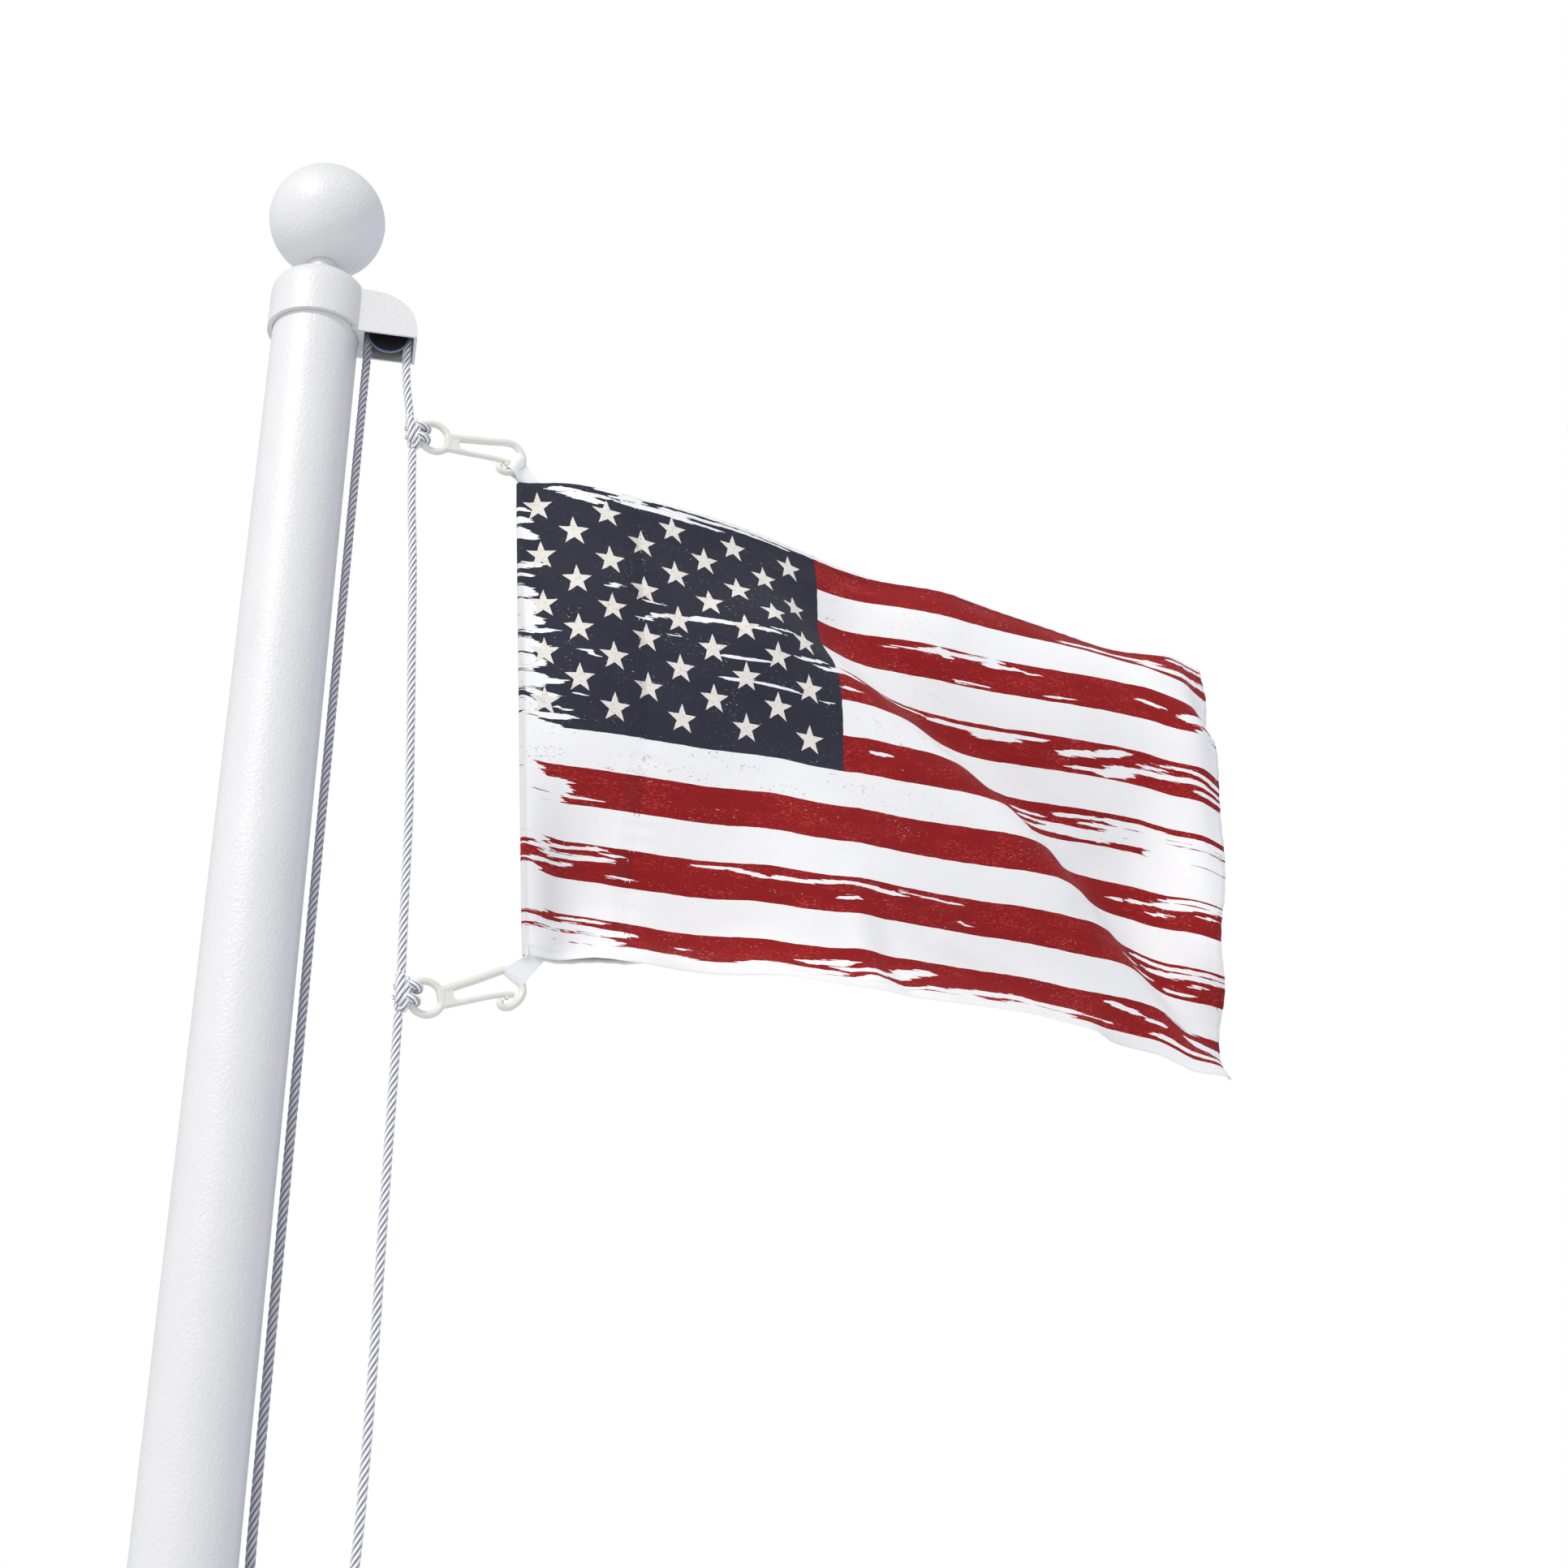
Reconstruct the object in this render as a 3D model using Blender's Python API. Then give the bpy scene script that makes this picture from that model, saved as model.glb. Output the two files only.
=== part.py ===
"""A small flag on its line at the top of a tubular flagpole, for Blender 4.5.

The pole stands on its cut foot at the origin, its axis is +Z, and +X is the side that carries the
pulley. Lengths are in metres, and the tables that say so are in millimetres.
"""
import math
from collections import namedtuple

import bmesh
import bpy
import numpy as np
from mathutils import Matrix, Vector

MM = 0.001
GAP = 0.3 * MM

# Pole, cap casting and ball
POLE_RADIUS = 30 * MM
POLE_WALL = 2 * MM
POLE_FOOT = 4 * MM
RIM_HEIGHT = 980 * MM
POLE_INTO_CAP = 28 * MM
CAP_RADIUS = 33.7 * MM
CAP_WALL_HEIGHT = 29.6 * MM
CAP_SHOULDER = 14 * MM
NECK_RADIUS = 10.5 * MM
NECK_TOP = 59.9 * MM
NECK_FILLET = 3 * MM
BALL_RADIUS = 41.4 * MM
BALL_HEIGHT = 99.9 * MM
ROUND_STEPS = 36

# Pulley housing, a part of the cap casting, and the sheave in it
HOUSING_START = 31.8 * MM
HOUSING_REACH = 39.1 * MM
HOUSING_BOTTOM = -3 * MM
HOUSING_HEIGHT = 35.5 * MM
HOUSING_ROUNDNESS = 2.4
HOUSING_HALF_WIDTH = 17.1 * MM
HOUSING_PLATE = 1.5 * MM
HOUSING_END_WALL = 2 * MM
POCKET_START = 33.9 * MM
SHEAVE_X = 50.9 * MM
SHEAVE_Z = RIM_HEIGHT + 5 * MM
SHEAVE_PITCH_RADIUS = 13.7 * MM
SHEAVE_FLANGE_RADIUS = 15 * MM
SHEAVE_GROOVE_RADIUS = 10 * MM
SHEAVE_HALF_WIDTH = 4.75 * MM
GROOVE_HALF_WIDTH = 3.4 * MM
PIN_RADIUS = 3 * MM

# The line's own sizes, and the cleat that it is made fast to
ROPE_RADIUS = 3 * MM
CLEAT_Z = 55 * MM
CLEAT_FACE_X = 34.5 * MM
CLEAT_PLATE = (20 * MM, 46 * MM)
CLEAT_CORNER = 4 * MM
CLEAT_BACK = 24 * MM
SEAT_HALF_LENGTH = 60 * MM
STEM_START = 26 * MM
STEM_SHOULDER = 49 * MM
STEM_RADIUS = 8.9 * MM
TURNS_RADIUS = 12.2 * MM
TURN_X = (38.2 * MM, 44.6 * MM)
TURNS_TOP = 17 * MM
HORN_X = 53 * MM
HORN_HALF_LENGTH = 36 * MM
HornRow = namedtuple("HornRow", "share lift radius")
HORN_ROWS = (
    HornRow(-1, 2.4 * MM, 3.0 * MM), HornRow(-0.55, 0.8 * MM, 4.6 * MM), HornRow(0, 0, 5.0 * MM),
    HornRow(0.55, 0.8 * MM, 4.6 * MM), HornRow(1, 2.4 * MM, 3.0 * MM),
)

# The upright plane in which flag and clips hang, turned away from the pulley's side
PLANE_ANGLE = math.radians(15.8)
PLANE_START = Vector((64 * MM, 0, 0))
PLANE_ALONG = Vector((math.cos(PLANE_ANGLE), math.sin(PLANE_ANGLE), 0))
PLANE_OUT = Vector((math.sin(PLANE_ANGLE), -math.cos(PLANE_ANGLE), 0))

# Flag, in millimetres until the points are made
FLY = 600.0
HOIST = 355.0
CLOTH = 1.5
FLAG_TOP = 892.0
HOIST_EDGE = (90.3, 113.6)
FLY_DROOP = 20.0
HELD_FLAT = 35.0
HEM_TOP_BOTTOM = 8.0
HEM_FLY = 7.0
HEM_EXTRA = 0.8
SLEEVE = 90.0
SLEEVE_FOLD = 2.0
SLEEVE_GAP = 3.2
SEAM_TAPER = 14.0
SEAM_STEP = 1.0
GRID_STEP = 17.0

# Folds of the hanging cloth in millimetres: where each starts and ends, along the cloth from the
# hoist and down it from the top, its depth towards the viewer there, and its softness on each side
Fold = namedtuple("Fold", "along_1 down_1 along_2 down_2 depth_1 depth_2 below above")
FOLDS = {
    "hoist swell": Fold(128, 0, 80, 130, 28, 30, 150, 150),
    "long crest": Fold(195, 95, 550, 285, 22, 27, 55, 40),
    "long trough": Fold(270, 65, 617, 335, -9, -45, 37, 43),
    "top shoulder": Fold(360, 30, 520, 55, 28, 43, 88, 52),
    "hem curl": Fold(100, 357, 446, 374, 26, 26, 73, 30),
    "lower hollow": Fold(62, 302, 142, 327, -37, -45, 107, 150),
    "fly lip": Fold(572, -17, 603, 344, 30, 29, 41, 120),
    "low swell": Fold(235, 281, 377, 230, 43, 19, 119, 136),
}
CREST_BLEND = 12.0

# Care label, in millimetres
LABEL_ALONG = (92.0, 153.0)
LABEL_DOWN = (239.0, 267.0)
LABEL_THICKNESS = 1.0
LABEL_CLEARANCE = 0.6

# Clip, in millimetres, seen flat: its ring's centre is the origin and its arms run along +X
RING_RADIUS = 11.2
RING_SECTION = 2.2
ArmPoint = namedtuple("ArmPoint", "x z radius")
HOOK_ARM = (
    (9.5, 3.4, 2.2), (15, 4.6, 2.6), (21, 5.9, 2.6), (37, 9.4, 2.5), (50, 12.6, 2.4), (56, 13.8, 2.4),
    (61, 13.0, 2.3), (65, 9.5, 2.3), (67.2, 4.5, 2.3), (67.3, -1.0, 2.3), (64.8, -5.5, 2.3),
    (60.0, -9.2, 2.2), (54.6, -11.1, 2.1), (50.9, -9.9, 2.0), (50.2, -7.9, 1.7),
)
LATCH_ARM = (
    (9.0, -5.4, 2.0), (13, -5.7, 1.9), (25, -4.7, 1.5), (37, -3.5, 1.4), (47, -2.9, 1.4),
    (52.0, -3.0, 1.4), (54.2, -3.6, 1.3), (54.9, -4.9, 1.1),
)
ClipPlace = namedtuple("ClipPlace", "along height clip_tilt knot_tilt")
CLIPS = {"upper": ClipPlace(25.7, 910.8, -1.1, 0.0), "lower": ClipPlace(48.8, 497.2, 14.0, -8.0)}

# Knot, in millimetres from the centre of the clip's ring
KNOT_AXIS = ((-15.2, -13.6), (-18.4, 8.8))
KNOT_WRAPS = 4
KNOT_RADIUS = 5.8
KNOT_RIDGE = 1.2
KNOT_NECK = 3.2
WRAP_FULLNESS = 0.46
KNOT_LOOPS = (4.2, -4.6)
LOOP_TAIL = (6, 3)
LOOP_RADIUS = 2.7
LOOP_CLEARANCE = 0.4

# Webbing tabs in millimetres: the two ends of the nose in the clip's plane, then where the tab
# enters the sleeve and where it ends in it, along the cloth and down it, first edge and last edge
TabEnds = namedtuple("TabEnds", "nose_1 nose_2 mouth_1 mouth_2 end_1 end_2")
TABS = {
    "upper": TabEnds((56.6, -6.6), (62.8, 7.4), (3.6, 0), (18, 0), (6, 13), (20, 13)),
    "lower": TabEnds((56.2, 9.4), (63.4, -0.3), (3.6, 355), (18, 355), (6, 342), (20, 342)),
}
TAB_COLUMNS = 5
TAB_LAYER = 0.8
HOOK_ROOM = 11.0
NoseRow = namedtuple("NoseRow", "distance half_gap")
NOSE_ROWS = (NoseRow(1.6, 1.8), NoseRow(3.7, 2.8), NoseRow(HOOK_ROOM, 2.75), NoseRow(13.5, 1.3))

# Routes of the line in millimetres, in the order in which the line runs
HOIST_ROUTE = (
    (38.2, 12.2, 72.3), (38.0, 11.3, 92), (37.2, 6.2, 122), (36.2, 2.0, 152), (35.8, 0.3, 200),
    (35.8, 0, 420), (36.4, 0, 700), (37.0, 0, 900), (37.2, 0, 960),
)
SHEAVE_TURN_STEPS = 8
DROP_ROUTE = ((64.8, 0, 968), (66.6, 0.7, 948), (69.2, 1.5, 932), (71.0, 2.0, 920.1))
BETWEEN_ROUTE = (
    (74.2, 2.9, 896.8), (76.9, 3.6, 853), (81.2, 4.9, 802), (84.9, 5.9, 740), (88.5, 6.9, 680),
    (91.5, 7.8, 622), (93.0, 8.2, 565), (94.6, 8.7, 509.0),
)
RETURN_ROUTE = (
    (94.7, 8.7, 485.4), (94.7, 8.7, 457), (95.0, 8.8, 355), (95.6, 9.0, 259), (94.6, 8.6, 170),
    (91.5, 7.2, 146), (82.0, 2.5, 124), (68.0, -4.6, 109), (56.0, -9.6, 100), (48.4, -11.8, 91),
    (45.0, -12.2, 82), (44.6, -12.2, 72.4),
)
ROUTE_STEP = 27 * MM


def clear_scene():
    for old in list(bpy.data.objects):
        bpy.data.objects.remove(old, do_unlink=True)


def plain_material(name, colour, roughness, metallic=0.0):
    made = bpy.data.materials.new(name)
    made.use_nodes = True
    shader = made.node_tree.nodes["Principled BSDF"]
    shader.inputs["Base Color"].default_value = (*colour, 1.0)
    shader.inputs["Roughness"].default_value = roughness
    shader.inputs["Metallic"].default_value = metallic
    return made


def mesh_from(name, verts, faces):
    """A mesh of these points and faces, its faces turned outwards."""
    mesh = bpy.data.meshes.new(name)
    mesh.from_pydata([tuple(v) for v in verts], [], faces)
    body = bmesh.new()
    body.from_mesh(mesh)
    bmesh.ops.recalc_face_normals(body, faces=body.faces)
    body.to_mesh(mesh)
    body.free()
    return mesh


def add_object(name, mesh, material, sharp_angle=40):
    made = bpy.data.objects.new(name, mesh)
    bpy.context.scene.collection.objects.link(made)
    mesh.materials.clear()
    mesh.materials.append(material)
    mesh.shade_smooth()
    mesh.set_sharp_from_angle(angle=math.radians(sharp_angle))
    return made


def shape(name, meshes_and_ways):
    """One mesh made of several by Boolean unions and cuts, in the order given."""
    base = bpy.data.objects.new(name, meshes_and_ways[0][0])
    bpy.context.scene.collection.objects.link(base)
    tools = []
    for mesh, way in meshes_and_ways[1:]:
        tool = bpy.data.objects.new(name + "_form", mesh)
        bpy.context.scene.collection.objects.link(tool)
        tools.append(tool)
        step = base.modifiers.new(way, "BOOLEAN")
        step.operation = way
        step.solver = "EXACT"
        step.object = tool
    seen = base.evaluated_get(bpy.context.evaluated_depsgraph_get())
    made = bpy.data.meshes.new_from_object(seen)
    made.name = name
    for old in [base, *tools]:
        bpy.data.objects.remove(old, do_unlink=True)
    return made


def turned(name, profile, segments=ROUND_STEPS):
    """A body turned round Z. The profile (radius, height) starts and ends on the axis, or closes on itself."""
    verts = []
    rings = []
    for radius, height in profile:
        if radius == 0:
            rings.append([len(verts)])
            verts.append((0, 0, height))
            continue
        rings.append(list(range(len(verts), len(verts) + segments)))
        for step in range(segments):
            angle = math.tau * step / segments
            verts.append((radius * math.cos(angle), radius * math.sin(angle), height))
    faces = []
    on_axis = profile[0][0] == 0
    pairs = zip(rings, rings[1:]) if on_axis else zip(rings, rings[1:] + rings[:1])
    for low, high in pairs:
        for step in range(segments):
            after = (step + 1) % segments
            if len(low) == 1:
                faces.append((low[0], high[after], high[step]))
            elif len(high) == 1:
                faces.append((low[step], low[after], high[0]))
            else:
                faces.append((low[step], low[after], high[after], high[step]))
    return mesh_from(name, verts, faces)


def extruded(name, outline, low, high):
    """An outline of (x, z) points as a block from y=low to y=high."""
    count = len(outline)
    verts = [(x, low, z) for x, z in outline] + [(x, high, z) for x, z in outline]
    faces = [tuple(range(count)), tuple(range(2 * count - 1, count - 1, -1))]
    for step in range(count):
        after = (step + 1) % count
        faces.append((step, step + count, after + count, after))
    return mesh_from(name, verts, faces)


def smooth_route(points, per_span):
    """A curve through the points, with this many steps from each to the next."""
    pts = [np.array(p, float) for p in points]
    ends = [2 * pts[0] - pts[1], *pts, 2 * pts[-1] - pts[-2]]
    line = []
    for before, start, stop, after in zip(ends, ends[1:], ends[2:], ends[3:]):
        steps = per_span(start, stop)
        for k in range(steps):
            t = k / steps
            line.append(0.5 * (2 * start + (stop - before) * t
                               + (2 * before - 5 * start + 4 * stop - after) * t * t
                               + (3 * start - before - 3 * stop + after) * t ** 3))
    line.append(pts[-1])
    return line


def swept(name, points, radii, sides, across):
    """A tube along points that lie in one plane, whose normal is across, with rounded ends."""
    side = Vector(across)
    count = len(points)
    path = [Vector(p) for p in points]
    rings = []
    verts = []
    for k in range(count):
        ahead = (path[min(k + 1, count - 1)] - path[max(k - 1, 0)]).normalized()
        rise = ahead.cross(side).normalized()
        rings.append((path[k], radii[k], ahead, rise))
    first, last = rings[0], rings[-1]
    blunt = 0.6
    rings.insert(0, (first[0] - first[2] * first[1] * blunt, first[1] * blunt, first[2], first[3]))
    rings.append((last[0] + last[2] * last[1] * blunt, last[1] * blunt, last[2], last[3]))
    for centre, radius, ahead, rise in rings:
        for step in range(sides):
            angle = math.tau * step / sides
            verts.append(centre + side * (radius * math.cos(angle)) + rise * (radius * math.sin(angle)))
    faces = [tuple(range(sides)), tuple(range(len(verts) - 1, len(verts) - 1 - sides, -1))]
    for k in range(len(rings) - 1):
        for step in range(sides):
            after = (step + 1) % sides
            low, high = k * sides, (k + 1) * sides
            faces.append((low + step, low + after, high + after, high + step))
    return mesh_from(name, verts, faces)


def ring_mesh(name, radius, section, across="Y", steps=24, sides=8):
    """A round ring about the Y axis, or about X."""
    verts = []
    for k in range(steps):
        turn = math.tau * k / steps
        for j in range(sides):
            angle = math.tau * j / sides
            out = radius + section * math.cos(angle)
            point = (out * math.cos(turn), section * math.sin(angle), out * math.sin(turn))
            verts.append(point if across == "Y" else (point[1], point[0], point[2]))
    faces = []
    for k in range(steps):
        for j in range(sides):
            a, b = k * sides, ((k + 1) % steps) * sides
            faces.append((a + j, b + j, b + (j + 1) % sides, a + (j + 1) % sides))
    return mesh_from(name, verts, faces)


def moved(mesh, matrix):
    mesh.transform(matrix)
    return mesh


def build_pole(white):
    top = RIM_HEIGHT + POLE_INTO_CAP
    inside = POLE_RADIUS - POLE_WALL
    profile = [(0, 0), (POLE_RADIUS, 0), (POLE_RADIUS, top), (inside, top), (inside, POLE_FOOT), (0, POLE_FOOT)]
    add_object("pole", turned("pole", profile), white)


def housing_outline(wall, start, bottom):
    """The housing's rounded quadrant seen from the side, drawn in by a wall."""
    reach = HOUSING_REACH - wall
    height = HOUSING_HEIGHT - wall
    outline = [(start, RIM_HEIGHT + bottom)]
    steps = 12
    for k in range(steps + 1):
        angle = math.pi / 2 * k / steps
        x = HOUSING_START + reach * math.cos(angle) ** (2 / HOUSING_ROUNDNESS)
        z = RIM_HEIGHT + HOUSING_BOTTOM + height * math.sin(angle) ** (2 / HOUSING_ROUNDNESS)
        if k == 0 and bottom < HOUSING_BOTTOM:
            outline.append((x, RIM_HEIGHT + bottom))
        if x > start:
            outline.append((x, z))
    outline.append((start, RIM_HEIGHT + HOUSING_BOTTOM + height))
    return outline


def build_cap(white):
    shoulder_x = CAP_RADIUS - CAP_SHOULDER
    dome_top = CAP_WALL_HEIGHT + CAP_SHOULDER
    profile = [(0, RIM_HEIGHT), (CAP_RADIUS, RIM_HEIGHT)]
    for k in range(8):
        angle = math.pi / 2 * k / 7
        profile.append((shoulder_x + CAP_SHOULDER * math.cos(angle),
                        RIM_HEIGHT + CAP_WALL_HEIGHT + CAP_SHOULDER * math.sin(angle)))
    for k in range(4):
        angle = math.pi / 2 * k / 3
        profile.append((NECK_RADIUS + NECK_FILLET * (1 - math.sin(angle)),
                        RIM_HEIGHT + dome_top + NECK_FILLET * (1 - math.cos(angle))))
    profile += [(NECK_RADIUS, RIM_HEIGHT + NECK_TOP), (0, RIM_HEIGHT + NECK_TOP)]
    solid = turned("cap_solid", profile)
    side = HOUSING_HALF_WIDTH
    block = extruded("housing_block", housing_outline(0, 20 * MM, HOUSING_BOTTOM), -side, side)
    inner = side - HOUSING_PLATE
    pocket = extruded("housing_pocket", housing_outline(HOUSING_END_WALL, POCKET_START, -20 * MM), -inner, inner)
    bore_radius = POLE_RADIUS + GAP
    bore_top = RIM_HEIGHT + POLE_INTO_CAP + GAP
    bore = turned("cap_bore", [(0, RIM_HEIGHT - 20 * MM), (bore_radius, RIM_HEIGHT - 20 * MM),
                               (bore_radius, bore_top), (0, bore_top)])
    mesh = shape("cap_casting", [(solid, ""), (block, "UNION"), (bore, "DIFFERENCE"), (pocket, "DIFFERENCE")])
    add_object("cap_casting", mesh, white, 30)


def build_ball(white):
    centre = RIM_HEIGHT + BALL_HEIGHT
    seat = RIM_HEIGHT + NECK_TOP + GAP
    flat_radius = math.sqrt(BALL_RADIUS ** 2 - (centre - seat) ** 2)
    start = math.atan2(flat_radius, centre - seat)
    steps = 16
    profile = [(0, seat)]
    for k in range(steps):
        angle = start + (math.pi - start) * k / steps
        profile.append((BALL_RADIUS * math.sin(angle), centre - BALL_RADIUS * math.cos(angle)))
    profile.append((0, centre + BALL_RADIUS))
    add_object("ball", turned("ball", profile), white)


def build_sheave(dark, steel):
    half = SHEAVE_HALF_WIDTH
    lip = 0.8 * MM
    bore = PIN_RADIUS + GAP
    profile = [(bore, -half), (SHEAVE_FLANGE_RADIUS - lip, -half), (SHEAVE_FLANGE_RADIUS, -half + lip)]
    for k in range(9):
        angle = math.pi * k / 8
        depth = (SHEAVE_FLANGE_RADIUS - SHEAVE_GROOVE_RADIUS) * math.sin(angle)
        profile.append((SHEAVE_FLANGE_RADIUS - depth, -GROOVE_HALF_WIDTH * math.cos(angle)))
    profile += [(SHEAVE_FLANGE_RADIUS, half - lip), (SHEAVE_FLANGE_RADIUS - lip, half), (bore, half)]
    lay_down = Matrix.Rotation(math.pi / 2, 4, "X")
    sheave = add_object("sheave", moved(turned("sheave", profile, 32), lay_down), dark)
    sheave.location = (SHEAVE_X, 0, SHEAVE_Z)
    reach = HOUSING_HALF_WIDTH - HOUSING_PLATE - GAP
    bar = turned("sheave_pin", [(0, -reach), (PIN_RADIUS, -reach), (PIN_RADIUS, reach), (0, reach)], 24)
    pin = add_object("sheave_pin", moved(bar, lay_down), steel)
    pin.location = (SHEAVE_X, 0, SHEAVE_Z)


def build_cleat(grey):
    width, height = CLEAT_PLATE
    half = width / 2
    corner = CLEAT_CORNER
    outline = []
    for turn, sx, sz in ((0, 1, 1), (1, -1, 1), (2, -1, -1), (3, 1, -1)):
        for k in range(4):
            angle = math.pi / 2 * (turn + k / 3)
            outline.append((sx * (half - corner) + corner * math.cos(angle),
                            sz * (height / 2 - corner) + corner * math.sin(angle)))
    plate = extruded("cleat_plate", outline, CLEAT_BACK, CLEAT_FACE_X)
    moved(plate, Matrix.Rotation(-math.pi / 2, 4, "Z"))
    lay_down = Matrix.Rotation(math.pi / 2, 4, "Y")
    stem = moved(turned("cleat_stem", [(0, STEM_START), (STEM_RADIUS, STEM_START), (STEM_RADIUS, STEM_SHOULDER),
                                       (STEM_RADIUS - 2 * MM, HORN_X), (0, HORN_X)], 24), lay_down)
    path = [(HORN_X + row.lift, 0, row.share * HORN_HALF_LENGTH) for row in HORN_ROWS]
    horns = swept("cleat_horns", path, [row.radius for row in HORN_ROWS], 12, (0, 1, 0))
    seat = turned("cleat_seat", [(0, -SEAT_HALF_LENGTH), (POLE_RADIUS + GAP, -SEAT_HALF_LENGTH),
                                 (POLE_RADIUS + GAP, SEAT_HALF_LENGTH), (0, SEAT_HALF_LENGTH)], 80)
    mesh = shape("cleat", [(plate, ""), (stem, "UNION"), (horns, "UNION"), (seat, "DIFFERENCE")])
    cleat = add_object("cleat", mesh, grey)
    cleat.location = (0, 0, CLEAT_Z)


def build_turns(rope):
    """The turns of line round the cleat's stem, with the two lengths that rise from them."""
    ring = ring_mesh("turn", TURNS_RADIUS, ROPE_RADIUS, "X")
    second = ring.copy()
    moved(ring, Matrix.Translation((TURN_X[0], 0, 0)))
    moved(second, Matrix.Translation((TURN_X[1] - 0.6 * MM, 0, 0)))
    risers = []
    for x, y in ((TURN_X[0], TURNS_RADIUS), (TURN_X[1], -TURNS_RADIUS)):
        bar = turned("riser", [(0, 0.5 * MM), (ROPE_RADIUS, 0.5 * MM), (ROPE_RADIUS, TURNS_TOP), (0, TURNS_TOP)], 8)
        risers.append(moved(bar, Matrix.Translation((x, y, 0))))
    mesh = shape("halyard_turns", [(ring, ""), (second, "UNION"), (risers[0], "UNION"), (risers[1], "UNION")])
    turns = add_object("halyard_turns", mesh, rope)
    turns.location = (0, 0, CLEAT_Z)


def clip_mesh():
    ring = ring_mesh("clip_ring", RING_RADIUS * MM, RING_SECTION * MM)
    forms = [(ring, "")]
    for name, table, sides in (("clip_hook", HOOK_ARM, 10), ("clip_latch", LATCH_ARM, 8)):
        line = [ArmPoint(*place) for place in smooth_route(table, lambda a, b: 2 if abs(b[0] - a[0]) > 8 else 1)]
        path = [(place.x * MM, 0, place.z * MM) for place in line]
        radii = [place.radius * MM for place in line]
        forms.append((swept(name, path, radii, sides, (0, 1, 0)), "UNION"))
    return shape("clip", forms)


def plane_point(along, out, height):
    """A point in the flag's plane, in millimetres along it, out of it and up."""
    flat = PLANE_START + PLANE_ALONG * (along * MM) + PLANE_OUT * (out * MM)
    return Vector((flat.x, flat.y, height * MM))


def place_in_plane(thing, along, height, tilt):
    thing.location = plane_point(along, 0, height)
    thing.rotation_euler = (0, -math.radians(tilt), PLANE_ANGLE)


def build_clips(ivory):
    mesh = clip_mesh()
    for name, spot in CLIPS.items():
        place_in_plane(add_object("clip_" + name, mesh, ivory), spot.along, spot.height, spot.clip_tilt)


def knot_mesh():
    """A hitch of the line round the clip's ring: a ridged barrel and two bights through the ring."""
    (low_x, low_z), (high_x, high_z) = KNOT_AXIS
    length = math.hypot(high_x - low_x, high_z - low_z)
    pitch = length / KNOT_WRAPS
    valley = KNOT_RADIUS - KNOT_RIDGE
    profile = [(0, 0), (KNOT_NECK, 0)]
    for wrap in range(KNOT_WRAPS):
        for k in range(4):
            angle = math.pi * (k + 0.5) / 4
            height = pitch * (wrap + 0.5 - WRAP_FULLNESS * math.cos(angle))
            profile.append((valley + KNOT_RIDGE * math.sin(angle), height))
    profile += [(KNOT_NECK, length), (0, length)]
    barrel = turned("knot_barrel", [(r * MM, z * MM) for r, z in profile], 16)
    lean = math.atan2(high_x - low_x, high_z - low_z)
    moved(barrel, Matrix.Translation((low_x * MM, 0, low_z * MM)) @ Matrix.Rotation(lean, 4, "Y"))
    forms = [(barrel, "")]
    around = RING_SECTION + LOOP_CLEARANCE + LOOP_RADIUS
    for height in KNOT_LOOPS:
        section_x = -math.sqrt(RING_RADIUS ** 2 - height ** 2)
        path = [(section_x - tail, around, height) for tail in LOOP_TAIL]
        for k in range(7):
            angle = math.pi / 2 - math.pi * k / 6
            path.append((section_x + around * math.cos(angle), around * math.sin(angle), height))
        path += [(section_x - tail, -around, height) for tail in reversed(LOOP_TAIL)]
        points = [(x * MM, y * MM, z * MM) for x, y, z in path]
        forms.append((swept("knot_loop", points, [LOOP_RADIUS * MM] * len(points), 8, (0, 0, 1)), "UNION"))
    room = ring_mesh("knot_room", RING_RADIUS * MM, (RING_SECTION + LOOP_CLEARANCE) * MM)
    forms.append((room, "DIFFERENCE"))
    return shape("knot", forms)


def build_knots(rope):
    mesh = knot_mesh()
    for name, spot in CLIPS.items():
        place_in_plane(add_object("knot_" + name, mesh, rope), spot.along, spot.height, spot.knot_tilt)


def build_line(rope):
    """The three lengths of line: cleat to upper knot over the sheave, knot to knot, and back to the cleat."""
    def spans(start, stop):
        return max(1, round(float(np.linalg.norm(stop - start)) / (ROUTE_STEP / MM)))
    turn = []
    for k in range(SHEAVE_TURN_STEPS + 1):
        angle = math.pi * (1 - k / SHEAVE_TURN_STEPS)
        turn.append(((SHEAVE_X + SHEAVE_PITCH_RADIUS * math.cos(angle)) / MM, 0,
                     (SHEAVE_Z + SHEAVE_PITCH_RADIUS * math.sin(angle)) / MM))
    hoist = smooth_route(HOIST_ROUTE + tuple(turn) + DROP_ROUTE, spans)
    runs = {"halyard_hoist": hoist, "halyard_between": smooth_route(BETWEEN_ROUTE, spans),
            "halyard_return": smooth_route(RETURN_ROUTE, spans)}
    for name, line in runs.items():
        curve = bpy.data.curves.new(name, "CURVE")
        curve.dimensions = "3D"
        curve.bevel_depth = ROPE_RADIUS
        curve.bevel_resolution = 2
        curve.use_fill_caps = True
        spline = curve.splines.new("POLY")
        spline.points.add(len(line) - 1)
        for point, place in zip(spline.points, line):
            point.co = (*(place * MM), 1)
        made = bpy.data.objects.new(name, curve)
        bpy.context.scene.collection.objects.link(made)
        curve.materials.append(rope)


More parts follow.
